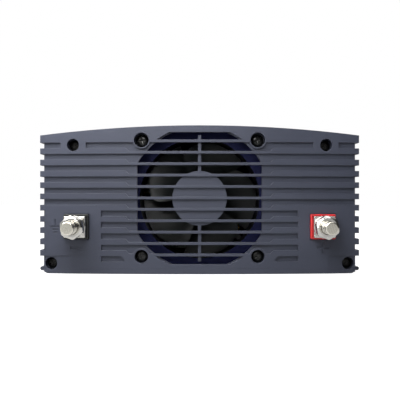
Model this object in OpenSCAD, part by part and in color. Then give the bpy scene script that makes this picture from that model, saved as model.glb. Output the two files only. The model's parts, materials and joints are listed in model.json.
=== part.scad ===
// Power inverter in a finned aluminium case: battery studs and cooling fan on
// the front end, mains outlets and controls on the rear end.
// The case is drawn from its front face (depth 0) backwards, and place() then
// puts the origin under the middle of the whole object, on the surface it rests on.

/* [Case] */
// Width of the case body, without its fins
case_w = 193.4; // [190:0.2:200]
// Height of the case at the middle of its crowned top
case_h = 91.2; // [90:0.2:94]
// Length from the front face to the rear face
case_l = 300; // [280:5:340]
// Radius of the crowned top
crown_r = 862; // [700:1:1200]
// Radius of the front face's gentle forward bow
bow_r = 970; // [900:10:1400]
// How far the side fins stand out of the body
fin_out = 2.2; // [1.5:0.1:3.5]
// Wall of the two case extrusions
case_wall = 3; // [2.4:0.2:3.4]

/* [Ribs] */
// Pitch of the ribs and fins
rib_pitch = 7; // [6.8:0.1:7.2]
// Height of a rib or fin at the sides
rib_h = 3.55; // [3.4:0.05:4.2]
// Height of a grille bar
bar_h = 1.6; // [1.4:0.1:2.2]
// Height of the underside of the top rib
first_rib_z = 80.9; // [80.4:0.1:81.2]
// Depth of the grooves between the ribs
groove_d = 1.5; // [1:0.1:2]

/* [Bezels] */
// Depth of each end bezel
bezel_d = 14; // [13:0.5:16]
// Thickness of a bezel's end wall
face_t = 4; // [3.5:0.1:4.5]
// Thickness of each sheet end plate
plate_t = 1.5; // [1:0.1:2]

/* [Fan] */
// Side of the square fan
fan_size = 80; // [80]
// Depth of the fan
fan_d = 25; // [25:1:32]
// Distance between the fan's screw holes
fan_pitch = 71.5; // [71.5]
// Height of the fan's axis
fan_z = 46.5; // [46:0.5:47]
// Number of fan blades
blade_count = 5; // [5:1:7]

/* [Battery terminals] */
// Distance of each stud from the middle
terminal_x = 75.9; // [74:0.1:78]
// Height of the studs
terminal_z = 29; // [28:0.5:31]
// Side of the square terminal block
block_w = 13; // [12:0.5:13]
// Side of the square insulator
insulator_w = 15.4; // [15.2:0.1:17]
// Diameter of the stud's thread
stud_dia = 8; // [8]
// How far the stud stands in front of the face
stud_out = 25.8; // [22:0.2:28]

/* [Rear panel] */
// Height of the outlets' centres
outlet_z = 44; // [42:0.5:46]
// Distance of the outer outlet from the middle
outlet_far_x = 68; // [66:0.5:69]
// Distance of the inner outlet from the middle
outlet_near_x = 19; // [17:0.5:20]
// How far the earth stud stands behind the rear face
earth_out = 12; // [10:0.5:14]

/* [Hidden] */
$fn = 64;

front_y = stud_out - (stud_out + case_l + earth_out) / 2;
body_x = case_w / 2;
rib_count = 10;
cover_z = first_rib_z - rib_count * rib_pitch;
cover_start = bezel_d + plate_t;
cover_l = case_l - 2 * cover_start;
far = 130;

// Where a rib narrows from a fin's height to a grille bar's height
jog_out_x = 45.5;
jog_in_x = jog_out_x - (rib_h - bar_h);
// Where the lower grooves stop beside the flat fields round the studs
field_x = 60.6;
// The flat pads round the upper bezel screws
pad_in_x = 70.2;
pad_out_x = 86;

// Grille opening: a circle clipped by a box
opening_r = 44.6;
opening_w = 76.6;
opening_h = 81.1;
disc_r = 16.8;
spine_w = 2;
spine_h = 77.6;

upper_screw = [78.2, 79.4];
lower_screw = [92, 6.3];
bezel_bore_r = 3.8;
bezel_seat = 12.4;
fan_seat = 8;
fan_head_t = 2.6;
collar_y = 0.3;
core_r = 3.35;
upper_fan_bore_r = 4.55;
lower_fan_bore_r = 4.15;
lower_seat_rise = 1.4;

bead_r = 1.2;
bead_z = 2;
bead_x = body_x + 3.6;

block_out = 4.5;
washer_t = 1.3;
spring_t = 2;
nut_t = 6.4;
nut_out = block_out + washer_t + spring_t + nut_t;

board_z = 12;
board_t = 1.6;
board_w = 176;
board_l = 214;
board_start = 56;
board_top = board_z + board_t;
component_z = board_top + 0.05;

switch_at = [-20, 58];
breaker_at = [-39, 58];
dip_at = [-19, 41.5];
jack_at = [-20, 26];
earth_at = [-40, 26];
lens_x = [-46, -40, -34];
lens_z = 42;
panel_x = [-51, -8];
panel_z = [17.5, 70.4];
rocker_tilt = 9;

function rib_z(k) = first_rib_z - k * rib_pitch;
function crown_z(x, drop = 0) = case_h - crown_r + sqrt(pow(crown_r - drop, 2) - x * x);

// ---------- Frames and helpers ----------

// Puts the drawing, measured back from the front face, in the object's own frame
module place() {
    translate([0, front_y, 0]) children();
}

// Extrudes an outline drawn in width and height, from one depth backwards
module slab(depth, thick) {
    translate([0, depth + thick, 0]) rotate([90, 0, 0]) linear_extrude(thick) children();
}

// A cylinder along the case's length
module rod(x, z, depth, length, r, r2 = undef) {
    translate([x, depth, z]) rotate([-90, 0, 0])
        cylinder(h = length, r1 = r, r2 = is_undef(r2) ? r : r2);
}

// A box given by its middle in x and z, its depth and its sizes
module block(x, z, depth, size) {
    translate([x - size[0] / 2, depth, z - size[2] / 2]) cube(size);
}

// A hexagonal prism along the case's length, by its width across flats
module hex_rod(x, z, depth, length, flats, turn = 0) {
    translate([x, depth, z]) rotate([-90, 0, 0]) rotate([0, 0, turn])
        cylinder(h = length, r = flats / sqrt(3), $fn = 6);
}

module both_sides() {
    for (side = [-1, 1]) scale_x(side) children();
}

module scale_x(side) {
    if (side > 0) children();
    else mirror([1, 0, 0]) children();
}

// The crowned area of a given width, from a height up
module crowned(width, from_z = 0, drop = 0) {
    intersection() {
        translate([0, case_h - crown_r]) circle(r = crown_r - drop, $fn = 256);
        translate([-width / 2, from_z]) square([width, case_h + 5]);
    }
}

// ---------- Case outline ----------

module side_notches(width) {
    for (k = [0 : rib_count - 1])
        translate([width / 2, rib_z(k + 1) + rib_h])
            square([far, rib_pitch - rib_h]);
    translate([width / 2, -1]) square([far, cover_z + 1]);
}

module bottom_chamfer(width) {
    translate([width / 2, 0])
        polygon([[-2.3, -0.01], [0.01, -0.01], [0.01, 1.1]]);
}

// Outline with fins, shared by the bezels and, cut at the joint line, the cover
module finned_outline(width, fin) {
    difference() {
        crowned(width + 2 * fin);
        both_sides() side_notches(width);
        both_sides() bottom_chamfer(width);
    }
}

module bead_outline() {
    translate([bead_x, bead_z]) circle(r = bead_r);
    translate([body_x - 0.5, bead_z - bead_r]) square([bead_x - body_x + 0.5, 2 * bead_r]);
}

// ---------- Bezel faces ----------

// Groove under rib k, out to a width, with its floor dropping to bar height at the grille
module jogged_groove(k, reach) {
    top = rib_z(k);
    side = rib_z(k + 1) + rib_h;
    middle = rib_z(k + 1) + bar_h;
    polygon([
        [-reach, top], [reach, top], [reach, side], [jog_out_x, side],
        [jog_in_x, middle], [-jog_in_x, middle], [-jog_out_x, side], [-reach, side]
    ]);
}

// The grille's opening; ledge draws its arcs in by that much
module opening_outline(ledge = 0, grow = 0) {
    intersection() {
        translate([0, fan_z]) circle(r = opening_r - ledge + grow, $fn = 128);
        translate([0, fan_z])
            square([opening_w + 2 * grow, opening_h + 2 * grow], center = true);
    }
}

module fan_points() {
    for (x = [-1, 1], z = [-1, 1])
        translate([x * fan_pitch / 2, fan_z + z * fan_pitch / 2]) children();
}

module screw_pads() {
    both_sides() translate([pad_in_x, rib_z(1) + rib_h - 1])
        square([pad_out_x - pad_in_x, rib_pitch]);
}

module front_grooves() {
    difference() {
        union() {
            for (k = [0 : 5]) jogged_groove(k, far);
            for (k = [6 : 9]) jogged_groove(k, field_x);
            both_sides() {
                for (k = [6 : 9])
                    translate([body_x - 0.9, rib_z(k + 1) + rib_h])
                        square([far, rib_pitch - rib_h]);
                short_slot();
            }
        }
        screw_pads();
        fan_points() circle(r = upper_fan_bore_r + 0.7);
    }
}

module short_slot() {
    top = rib_z(10);
    bottom = rib_z(11) + rib_h;
    polygon([
        [jog_out_x + 0.6, bottom + 0.9], [jog_out_x + 2.7, top],
        [field_x, top], [field_x, bottom], [jog_out_x + 1.5, bottom]
    ]);
}

// The polarity and earth marks sunk in the front face
module front_marks() {
    mark_z = 16;
    translate([-terminal_x, mark_z]) square([7.6, 1.8], center = true);
    translate([terminal_x, mark_z]) {
        square([7.6, 1.3], center = true);
        square([1.3, 7.6], center = true);
    }
    translate([-89.2, 29.5]) {
        translate([-0.35, 0]) square([0.7, 4.3]);
        for (row = [0 : 2])
            translate([-(3.2 - row), -0.7 - 1.8 * row]) square([2 * (3.2 - row), 0.7]);
    }
}

module bezel_screw_points() {
    both_sides() {
        translate(upper_screw) children();
        translate(lower_screw) children();
    }
}

// Everything behind a surface that follows the front's bow at a given depth
module behind_bow(depth) {
    translate([0, depth + bow_r, -5]) cylinder(h = case_h + 10, r = bow_r, $fn = 720);
}

// An outline cut into the bowed front to a given depth
module bow_cut(depth) {
    difference() {
        slab(-1, 12) children();
        behind_bow(depth);
    }
}

module bezel_hollow() {
    difference() {
        crowned(case_w - 5, 2.6, 2.6);
        bezel_screw_points() circle(r = 5.4);
    }
}

// The lower corners fall back a little towards the sides
module corner_fall(side) {
    x0 = 79;
    x1 = 102;
    y0 = bow_r - sqrt(pow(bow_r, 2) - pow(x0, 2));
    y1 = bow_r - sqrt(pow(bow_r, 2) - pow(x1, 2));
    scale_x(side) translate([0, 0, -1]) linear_extrude(cover_z + 1)
        polygon([[x0, y0 - 0.02], [x1, y1 + 1.1], [x1, -1], [x0, -1]]);
}

module dc_bezel() {
    color("#4b5060") place() difference() {
        intersection() {
            slab(0, bezel_d) finned_outline(case_w, fin_out);
            behind_bow(0);
        }
        intersection() {
            slab(0, bezel_d + 1) difference() {
                bezel_hollow();
                fan_points() circle(r = 5.4);
                both_sides() translate([terminal_x, terminal_z])
                    square(insulator_w + 4, center = true);
                opening_outline(grow = 0.4);
            }
            behind_bow(face_t);
        }
        slab(-1, face_t + 1) difference() {
            opening_outline(ledge = 0.8);
            grille_outline();
            hub_outline();
        }
        slab(face_t, bezel_d) opening_outline(grow = 0.4);
        bow_cut(groove_d) front_grooves();
        bow_cut(groove_d) difference() {
            opening_outline();
            grille_outline();
        }
        bow_cut(0.5) front_marks();
        for (side = [-1, 1]) corner_fall(side);
        slab(-1, bezel_seat + 1) bezel_screw_points() circle(r = bezel_bore_r);
        slab(-1, bezel_d + 2) bezel_screw_points() circle(r = 2.2);
        fan_bores();
        slab(-1, bezel_d + 2) both_sides() translate([terminal_x, terminal_z])
            square(insulator_w + 0.3, center = true);
    }
}

module fan_bores() {
    for (x = [-1, 1], z = [-1, 1]) {
        at = [x * fan_pitch / 2, fan_z + z * fan_pitch / 2];
        rod(at[0], at[1], -1, fan_seat + 1 - (z > 0 ? 0 : lower_seat_rise),
            z > 0 ? upper_fan_bore_r : lower_fan_bore_r);
        rod(at[0], at[1], -1, bezel_d + 2, 2.25);
    }
}

module grille_outline() {
    for (k = [0 : 10]) translate([-far / 2, rib_z(k)]) square([far, bar_h]);
}

// The disc and the upright that the bars are tied to, behind their fronts
module hub_outline() {
    translate([0, fan_z]) circle(r = disc_r);
    translate([-spine_w / 2, fan_z - spine_h / 2]) square([spine_w, spine_h]);
}

// ---------- Case shells ----------

module cover_outline() {
    difference() {
        union() {
            difference() {
                intersection() {
                    finned_outline(case_w - 0.4, fin_out);
                    translate([-far, cover_z]) square([2 * far, far]);
                }
                crowned(case_w - 0.4 - 2 * case_wall, -1, case_wall + 0.2);
            }
            both_sides() {
                translate(upper_screw) circle(r = 4.2);
                translate([upper_screw[0] - 2.4, upper_screw[1]]) square([4.8, 6]);
            }
        }
        both_sides() translate(upper_screw) circle(r = 1.7);
        translate([0, case_h - crown_r]) difference() {
            circle(r = crown_r + 5, $fn = 256);
            circle(r = crown_r - 0.2, $fn = 256);
        }
        both_sides() for (x = [52, 56, 60])
            translate([x, crown_z(x) - 0.9]) square([1.2, 3]);
    }
}

module top_cover() {
    color("#4a4f60") place() slab(cover_start, cover_l) cover_outline();
}

module tray_outline() {
    wall_x = body_x - 0.2;
    difference() {
        union() {
            translate([-wall_x, 0]) square([2 * wall_x, case_wall]);
            both_sides() {
                translate([wall_x - case_wall, 0]) square([case_wall, cover_z - 0.1]);
                translate([wall_x - case_wall - 2.6, 0]) square([2.4, 17]);
                translate([wall_x - case_wall - 2.6, 0]) square([3, cover_z - 0.1]);
                translate(lower_screw) circle(r = 3.9);
                bead_outline();
            }
        }
        both_sides() {
            bottom_chamfer(2 * wall_x);
            translate(lower_screw) circle(r = 1.7);
        }
    }
}

module tray_points(r_x = 70, r_y = 90) {
    middle = case_l / 2;
    for (x = [-r_x, r_x], y = [-r_y, r_y]) translate([x, middle + y, 0]) children();
}

module base_tray() {
    color("#454a5a") place() difference() {
        slab(cover_start, cover_l) tray_outline();
        tray_points() translate([0, 0, -1]) cylinder(h = case_wall + 2, r = 2.1);
    }
}

// ---------- End plates ----------

module plate_outline() {
    difference() {
        crowned(case_w - 2, 1.2, 1);
        bezel_screw_points() circle(r = 2.2);
    }
}

module dc_end_plate() {
    color("#262c4c") place() slab(bezel_d, plate_t) difference() {
        plate_outline();
        translate([0, fan_z]) circle(r = 38);
        fan_points() circle(r = 2.2);
        both_sides() translate([terminal_x, terminal_z])
            square(insulator_w + 0.3, center = true);
    }
}

module ac_end_plate() {
    color("#262c4c") place() slab(case_l - bezel_d - plate_t, plate_t) difference() {
        plate_outline();
        outlet_points() circle(r = 23.4);
        translate([panel_x[0], panel_z[0]])
            square([panel_x[1] - panel_x[0], panel_z[1] - panel_z[0]]);
        vent_slots(1);
    }
}

// ---------- Rear bezel ----------

module outlet_points() {
    for (x = [outlet_near_x, outlet_far_x]) translate([x, outlet_z]) children();
}

// Slots in the rear bezel and its end plate, in the ribs' grooves
module vent_slots(grow) {
    slot_h = rib_pitch - rib_h - 0.4 + grow;
    for (k = [3 : 8]) vent_slot(-91, rib_z(k), 35 + grow, slot_h);
    for (x = [-88, -55, -22, 11, 44])
        vent_slot(x, rib_z(9), 27 + grow, slot_h);
}

module vent_slot(x, top, length, height) {
    translate([x, top - (rib_pitch - rib_h) / 2 - height / 2]) square([length, height]);
}

module rear_grooves() {
    difference() {
        for (k = [0 : 9]) translate([-far, rib_z(k + 1) + rib_h])
            square([2 * far, rib_pitch - rib_h]);
        screw_pads();
        translate([panel_x[0] - 1, panel_z[0] - 0.01])
            square([body_x - 2.2 - panel_x[0] + 1, panel_z[1] - panel_z[0] - 0.04]);
    }
}

module panel_cutouts() {
    outlet_points() circle(r = 22.2);
    translate(switch_at) square([13.4, 19.4], center = true);
    translate(breaker_at) circle(r = 5.6);
    translate(dip_at) square([11.4, 7.4], center = true);
    translate(jack_at) square([12.4, 10.4], center = true);
    translate(earth_at) circle(r = 2.6);
    for (x = lens_x) translate([x, lens_z]) circle(r = 1.7);
}

module ac_bezel() {
    wall = case_l - face_t;
    color("#4b5060") place() difference() {
        union() {
            slab(case_l - groove_d, groove_d) difference() {
                finned_outline(case_w, fin_out);
                rear_grooves();
            }
            slab(wall, face_t - groove_d) finned_outline(case_w, fin_out);
            slab(case_l - bezel_d, bezel_d - face_t) difference() {
                finned_outline(case_w, fin_out);
                bezel_hollow();
            }
        }
        slab(case_l - bezel_seat, bezel_seat + 1) bezel_screw_points() circle(r = bezel_bore_r);
        slab(case_l - bezel_d - 1, bezel_d + 2) bezel_screw_points() circle(r = 2.2);
        slab(wall - 1, face_t + 2) {
            panel_cutouts();
            vent_slots(0);
        }
    }
}

// ---------- Screws ----------

// A pan-head screw: its head towards the front face, its cross recess cut in
module pan_screw(x, z, depth, length, head_r, head_t, shank_r) {
    difference() {
        union() {
            rod(x, z, depth + 0.8, head_t - 0.8, head_r);
            rod(x, z, depth, 0.8, head_r - 1, head_r);
            rod(x, z, depth + head_t - 0.1, length, shank_r);
        }
        for (turn = [0, 90]) translate([x, depth - 1, z]) rotate([0, turn + 10, 0])
            translate([-head_r * 0.55, 0, -0.45]) cube([head_r * 1.1, 2.2, 0.9]);
    }
}

module fan_screws() {
    color("#17181a") place() for (x = [-1, 1], z = [-1, 1]) {
        seat = fan_seat - (z > 0 ? 0 : lower_seat_rise);
        pan_screw(x * fan_pitch / 2, fan_z + z * fan_pitch / 2, seat - fan_head_t,
            cover_start + 8 - seat, 3.85, fan_head_t, 2);
    }
}

module fan_nuts() {
    color("silver") place() for (x = [-1, 1], z = [-1, 1]) difference() {
        hex_rod(x * fan_pitch / 2, fan_z + z * fan_pitch / 2, cover_start + 4, 3.2, 7);
        rod(x * fan_pitch / 2, fan_z + z * fan_pitch / 2, cover_start, 12, 2.05);
    }
}

module bezel_screws() {
    color("#17181a") place() {
        end_screws();
        translate([0, case_l, 0]) mirror([0, 1, 0]) end_screws();
    }
}

module end_screws() {
    for (side = [-1, 1], at = [upper_screw, lower_screw])
        pan_screw(side * at[0], at[1], bezel_seat - 2.4, 16, 3.4, 2.4, 1.65);
}

// ---------- Fan ----------

fan_front = cover_start;
fan_rear = fan_front + fan_d;
bore_r = 38.1;
hub_r = 17.3;
blade_tip_r = 37;

module fan_square() {
    intersection() {
        square(fan_size, center = true);
        circle(r = 54, $fn = 96);
    }
}

module fan_frame() {
    color("#141518") place() difference() {
        union() {
            for (depth = [fan_front, fan_rear - 4]) slab(depth, 4) difference() {
                translate([0, fan_z]) fan_square();
                translate([0, fan_z]) circle(r = bore_r);
                fan_points() circle(r = 2.15);
            }
            slab(fan_front + 3.9, fan_d - 7.8) translate([0, fan_z]) difference() {
                circle(r = 39.6);
                circle(r = bore_r);
            }
            slab(fan_rear - 3, 3) translate([0, fan_z]) {
                circle(r = 18);
                for (turn = [45 : 90 : 315]) rotate(turn)
                    translate([15, -1.6]) square([24, 3.2]);
            }
            rod(0, fan_z, fan_front + 8, fan_d - 10, 4.4);
        }
        rod(0, fan_z, fan_front + 7, fan_d - 9, 3.52);
    }
}

module fan_bearings() {
    color("silver") place() for (depth = [fan_front + 8, fan_front + 18]) difference() {
        rod(0, fan_z, depth, 3, 3.5);
        rod(0, fan_z, depth - 1, 5, 1.53);
    }
}

module rotor_yoke() {
    color("silver") place() {
        difference() {
            rod(0, fan_z, fan_front + 3.6, 14, 15.7);
            rod(0, fan_z, fan_front + 4.6, 14, 14.9);
        }
        rod(0, fan_z, fan_front + 4.5, 18, 1.5);
    }
}

module rotor_magnet() {
    color("#2a2a2c") place() difference() {
        rod(0, fan_z, fan_front + 5, 12, 14.85);
        rod(0, fan_z, fan_front + 4, 14, 13.4);
    }
}

module stator_core() {
    color("gray") place() difference() {
        rod(0, fan_z, fan_front + 8, 8, 12.9);
        rod(0, fan_z, fan_front + 7, 10, 4.45);
        for (turn = [45 : 90 : 315]) translate([0, fan_front + 7, fan_z])
            rotate([0, turn, 0]) {
                translate([5.2, 0, -3.4]) cube([5.6, 10, 6.8]);
                translate([5.2, 0, -0.8]) cube([9, 10, 1.6]);
            }
    }
}

module stator_windings() {
    color("#b26b34") place() for (turn = [45 : 90 : 315])
        translate([0, fan_front + 7.3, fan_z]) rotate([0, turn, 0]) {
            translate([5.4, 0, -3.2]) cube([5.2, 9.4, 2.5]);
            translate([5.4, 0, 0.7]) cube([5.2, 9.4, 2.5]);
        }
}

// A blade is a strip of a helix: its near edge curves back towards the tip, and its
// depth grows with the angle; i counts rings outwards and j steps along the chord
blade_rings = 9;
blade_steps = 9;
near_angle = 31;
far_angle = 99;
near_depth = 2.9;
far_depth = 18.4;
curve_from_r = 22;
curve_angle = 32;
function blade_r(i) = hub_r - 0.6 + (blade_tip_r - hub_r + 0.6) * i / (blade_rings - 1);
function blade_near(r) = near_angle
    + curve_angle * pow(max(r - curve_from_r, 0) / (blade_tip_r - curve_from_r), 3.2);
function blade_angle(i, j) = let (near = blade_near(blade_r(i)))
    near + (far_angle - near) * j / (blade_steps - 1);
function blade_depth(i, j) = let (v = (blade_angle(i, j) - near_angle) / (far_angle - near_angle))
    near_depth + (far_depth - near_depth) * v + 1.4 * sin(180 * v);
function blade_half(j) = 0.35 + 0.55 * sin(180 * pow(j / (blade_steps - 1), 0.7));
function blade_point(i, j, side) = [
    blade_r(i) * cos(blade_angle(i, j)),
    fan_front + blade_depth(i, j) + side * blade_half(j),
    blade_r(i) * sin(blade_angle(i, j))
];

module fan_blade() {
    n = blade_rings * blade_steps;
    function at(i, j, s) = s * n + i * blade_steps + j;
    points = [for (s = [0, 1], i = [0 : blade_rings - 1], j = [0 : blade_steps - 1])
        blade_point(i, j, s == 0 ? -1 : 1)];
    last_i = blade_rings - 1;
    last_j = blade_steps - 1;
    skins = [for (i = [0 : last_i - 1], j = [0 : last_j - 1]) each [
        [at(i, j, 0), at(i, j + 1, 0), at(i + 1, j + 1, 0)],
        [at(i, j, 0), at(i + 1, j + 1, 0), at(i + 1, j, 0)],
        [at(i, j, 1), at(i + 1, j + 1, 1), at(i, j + 1, 1)],
        [at(i, j, 1), at(i + 1, j, 1), at(i + 1, j + 1, 1)]
    ]];
    ends = [for (j = [0 : last_j - 1]) each [
        [at(0, j, 0), at(0, j, 1), at(0, j + 1, 1)],
        [at(0, j, 0), at(0, j + 1, 1), at(0, j + 1, 0)],
        [at(last_i, j, 0), at(last_i, j + 1, 1), at(last_i, j, 1)],
        [at(last_i, j, 0), at(last_i, j + 1, 0), at(last_i, j + 1, 1)]
    ]];
    edges = [for (i = [0 : last_i - 1]) each [
        [at(i, 0, 0), at(i + 1, 0, 1), at(i, 0, 1)],
        [at(i, 0, 0), at(i + 1, 0, 0), at(i + 1, 0, 1)],
        [at(i, last_j, 0), at(i, last_j, 1), at(i + 1, last_j, 1)],
        [at(i, last_j, 0), at(i + 1, last_j, 1), at(i + 1, last_j, 0)]
    ]];
    polyhedron(points = points, faces = concat(skins, ends, edges));
}

module fan_impeller() {
    color("#1b1c1f") place() {
        difference() {
            rod(0, fan_z, fan_front + 1.6, 19.4, hub_r);
            rod(0, fan_z, fan_front + 3.5, 20, 15.8);
        }
        for (n = [0 : blade_count - 1])
            translate([0, 0, fan_z]) rotate([0, n * 360 / blade_count, 0])
                mirror([0, 0, 1]) fan_blade();
    }
}

// ---------- Battery terminals ----------

module insulator(side) {
    x = side * terminal_x;
    difference() {
        union() {
            block(x, terminal_z, collar_y, [insulator_w, cover_start - collar_y, insulator_w]);
            block(x, terminal_z, cover_start, [insulator_w + 5, 2.5, insulator_w + 5]);
        }
        block(x, terminal_z, -2, [block_w + 0.2, cover_start + 6, block_w + 0.2]);
    }
}

module negative_insulator() {
    color("#1c1e1e") place() insulator(-1);
}

module positive_insulator() {
    color("#c8262a") place() insulator(1);
}

module terminal_block(side) {
    x = side * terminal_x;
    difference() {
        block(x, terminal_z, -block_out, [block_w, cover_start + 30, block_w]);
        rod(x, terminal_z, -block_out - 1, 15, core_r + 0.05);
    }
}

module negative_block() {
    color("#c9c6bd") place() terminal_block(-1);
}

module positive_block() {
    color("#c9c6bd") place() terminal_block(1);
}

module stud(side) {
    x = side * terminal_x;
    rod(x, terminal_z, -nut_out - 0.3, nut_out + 8.3, core_r);
    rod(x, terminal_z, -stud_out + 0.8, stud_out - nut_out - 1.1, stud_dia / 2);
    rod(x, terminal_z, -stud_out, 0.8, 3.5, stud_dia / 2);
}

module negative_stud() {
    color("#cfcabc") place() stud(-1);
}

module positive_stud() {
    color("#cfcabc") place() stud(1);
}

module terminal_washers() {
    color("#c9c6bd") place() for (side = [-1, 1]) difference() {
        rod(side * terminal_x, terminal_z, -block_out - washer_t, washer_t, 6.9);
        rod(side * terminal_x, terminal_z, -block_out - 4, 8, 4.2);
    }
}

module spring_washers() {
    color("#8e8c86") place() for (side = [-1, 1])
        difference() {
            rod(side * terminal_x, terminal_z, -block_out - washer_t - spring_t, spring_t, 6.3);
            rod(side * terminal_x, terminal_z, -nut_out, 12, 4.15);
            translate([side * terminal_x, -block_out - washer_t - spring_t - 1, terminal_z])
                rotate([0, 200, 0]) translate([0, 0, -0.4]) cube([9, 5, 0.8]);
        }
}

module terminal_nuts() {
    color("#cfcabc") place() for (side = [-1, 1])
        difference() {
            intersection() {
                hex_rod(side * terminal_x, terminal_z, -nut_out, nut_t, 13, 22);
                union() {
                    rod(side * terminal_x, terminal_z, -nut_out, 1.1, 5.9, 7.6);
                    rod(side * terminal_x, terminal_z, -nut_out + 1.1, nut_t - 2.2, 7.6);
                    rod(side * terminal_x, terminal_z, -nut_out + nut_t - 1.1, 1.1, 7.6, 6.2);
                }
            }
            rod(side * terminal_x, terminal_z, -nut_out - 1, nut_t + 2, 4.05);
            rod(side * terminal_x, terminal_z, -nut_out - 0.01, 0.6, 4.6, 4);
        }
}

// ---------- Power board ----------

module bus_bars() {
    inner = cover_start - block_out + 30;
    color("#b87333") place() for (side = [-1, 1]) {
        translate([side * terminal_x - 6, inner + 0.1, component_z + 3])
            cube([12, 3, terminal_z + 5 - component_z - 3]);
        translate([side > 0 ? 40 : -terminal_x - 6, inner + 0.1 + 3, component_z + 3])
            cube([terminal_x + 6 - 40, 20, 2]);
        for (x = [48, 66]) translate([side * x, inner + 18.6, component_z])
            cylinder(h = 3, r = 4);
    }
}

module main_board() {
    color("#1d5a34") place() difference() {
        translate([-board_w / 2, board_start, board_z]) cube([board_w, board_l, board_t]);
        board_points() translate([0, 0, board_z - 1]) cylinder(h = 5, r = 1.8);
    }
}

module board_points() {
    for (x = [-82, 0, 82], y = [board_start + 6, board_start + board_l - 6])
        translate([x, y, 0]) children();
}

module board_standoffs() {
    color("silver") place() board_points() translate([0, 0, case_wall]) difference() {
        cylinder(h = board_z - case_wall, r = 3);
        translate([0, 0, 2]) cylinder(h = 20, r = 1.6);
    }
}

module board_screws() {
    color("silver") place() board_points() {
        translate([0, 0, board_top]) cylinder(h = 2, r = 2.8);
        translate([0, 0, board_z - 5]) cylinder(h = 5 + board_t + 0.1, r = 1.5);
    }
}

module insulation_sheet() {
    color("#d8cfa0") place() difference() {
        translate([-board_w / 2, board_start, case_wall]) cube([board_w, board_l, 0.5]);
        board_points() translate([0, 0, case_wall - 1]) cylinder(h = 3, r = 3.5);
        tray_points() translate([0, 0, case_wall - 1]) cylinder(h = 3, r = 5);
    }
}

module input_capacitors() {
    color("#20242e") place() for (x = [-36, -12, 12, 36], y = [74, 95])
        translate([x + 4, y, component_z]) cylinder(h = 36, r = 9);
}

module link_capacitors() {
    color("#2a3d5c") place() for (x = [-18, 18])
        translate([x, 205, component_z]) cylinder(h = 45, r = 15);
}

module blade_fuses() {
    color("#c9a227") place() for (side = [-1, 1], y = [72, 82, 92])
        translate([side * 64 - 10, y, component_z]) {
            cube([20, 5, 12]);
            translate([2, 1, 0]) cube([16, 3, 17]);
        }
}

module transformer_cores() {
    color("#303236") place() for (x = [-32, 32]) translate([x - 24, 122, component_z])
        difference() {
            cube([48, 40, 48]);
            translate([6, -1, 8]) cube([11, 42, 32]);
            translate([31, -1, 8]) cube([11, 42, 32]);
        }
}

module transformer_windings() {
    color("#c48a3a") place() for (x = [-32, 32]) translate([x - 24, 117, component_z + 8.3])
        difference() {
            translate([6.3, 0, 0]) cube([35.4, 50, 31.4]);
            translate([16.7, 4.7, -1]) cube([14.6, 40.6, 36]);
        }
}

module choke_cores() {
    color("#3b5c3a") place() for (x = [-57, 57]) translate([x, 208, component_z + 21])
        rotate([90, 0, 0]) difference() {
            cylinder(h = 18, r = 19, center = true);
            cylinder(h = 20, r = 9.5, center = true);
        }
}

module choke_windings() {
    color("#b5652f") place() for (x = [-57, 57]) translate([x, 208, component_z + 21])
        rotate([90, 0, 0]) difference() {
            cylinder(h = 23, r = 20.8, center = true);
            cylinder(h = 18.2, r = 19.1, center = true);
            cylinder(h = 25, r = 7, center = true);
            difference() {
                cylinder(h = 18.2, r = 19.1, center = true);
                cylinder(h = 20, r = 9.4, center = true);
            }
            for (turn = [0 : 30 : 150]) rotate([0, 0, turn])
                cube([50, 1.6, 26], center = true);
        }
}

spreader_x = body_x - 0.2 - case_wall - 2.6;

module heat_spreaders() {
    color("#a9acb0") place() both_sides()
        translate([spreader_x - 6.2, 70, 18]) cube([6, 186, 44]);
}

module transistor_points() {
    for (n = [0 : 7]) translate([0, 84 + n * 22, 0]) children();
}

module power_transistors() {
    color("#1a1b1d") place() both_sides() transistor_points()
        translate([spreader_x - 6.2 - 5.1, -8, 26]) cube([5, 16, 21]);
}

module transistor_clips() {
    color("#b9bbbd") place() both_sides() transistor_points()
        translate([spreader_x - 6.2 - 6.2, -4, 33]) {
            cube([1, 8, 22]);
            translate([0, 0, 16]) cube([6.1, 8, 6]);
        }
}

module control_board() {
    color("#1d5a34") place() translate([-34, 238, component_z]) cube([68, 1.6, 48]);
}

module control_chips() {
    color("#18191b") place() for (x = [-24, 0, 24], z = [12, 34])
        translate([x - 6, 239.65, component_z + z - 5]) cube([12, 2.2, 10]);
}

// ---------- Mains outlets ----------

well_r = 19.7;
well_d = 17.5;

module outlet(x) {
    front = case_l + 1.8;
    difference() {
        union() {
            block(x, outlet_z, case_l + 0.02, [47, 1.78, 47]);
            rod(x, outlet_z, case_l - 24, 24.1, 21.9);
        }
        difference() {
            rod(x, outlet_z, front - well_d, well_d + 1, well_r);
            for (side = [-1, 1]) block(x + side * 19, outlet_z, front - well_d - 1, [3.2, 13, 5.4]);
        }
        for (side = [-1, 1]) {
            rod(x + side * 9.5, outlet_z, case_l - 23, 20, 2.6);
            block(x, outlet_z + side * 19.6, front - well_d, [7, well_d + 1, 3]);
        }
    }
}

module left_outlet() {
    color("#1d1f22") place() outlet(outlet_far_x);
}

module right_outlet() {
    color("#1d1f22") place() outlet(outlet_near_x);
}

module outlet_contacts() {
    color("#c8a24a") place() for (x = [outlet_near_x, outlet_far_x], side = [-1, 1])
        difference() {
            rod(x + side * 9.5, outlet_z, case_l - 22.8, 6, 2.5);
            rod(x + side * 9.5, outlet_z, case_l - 20, 6, 2.05);
        }
}

module outlet_earth_clips() {
    color("#c9c6bd") place() for (x = [outlet_near_x, outlet_far_x], side = [-1, 1])
        translate([x - 2.5, 0, outlet_z]) scale_z(side) {
            translate([0, case_l - 15.6, 18.6]) cube([5, 13, 0.8]);
            translate([0, case_l - 10, 17.4]) cube([5, 4, 1.25]);
        }
}

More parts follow.
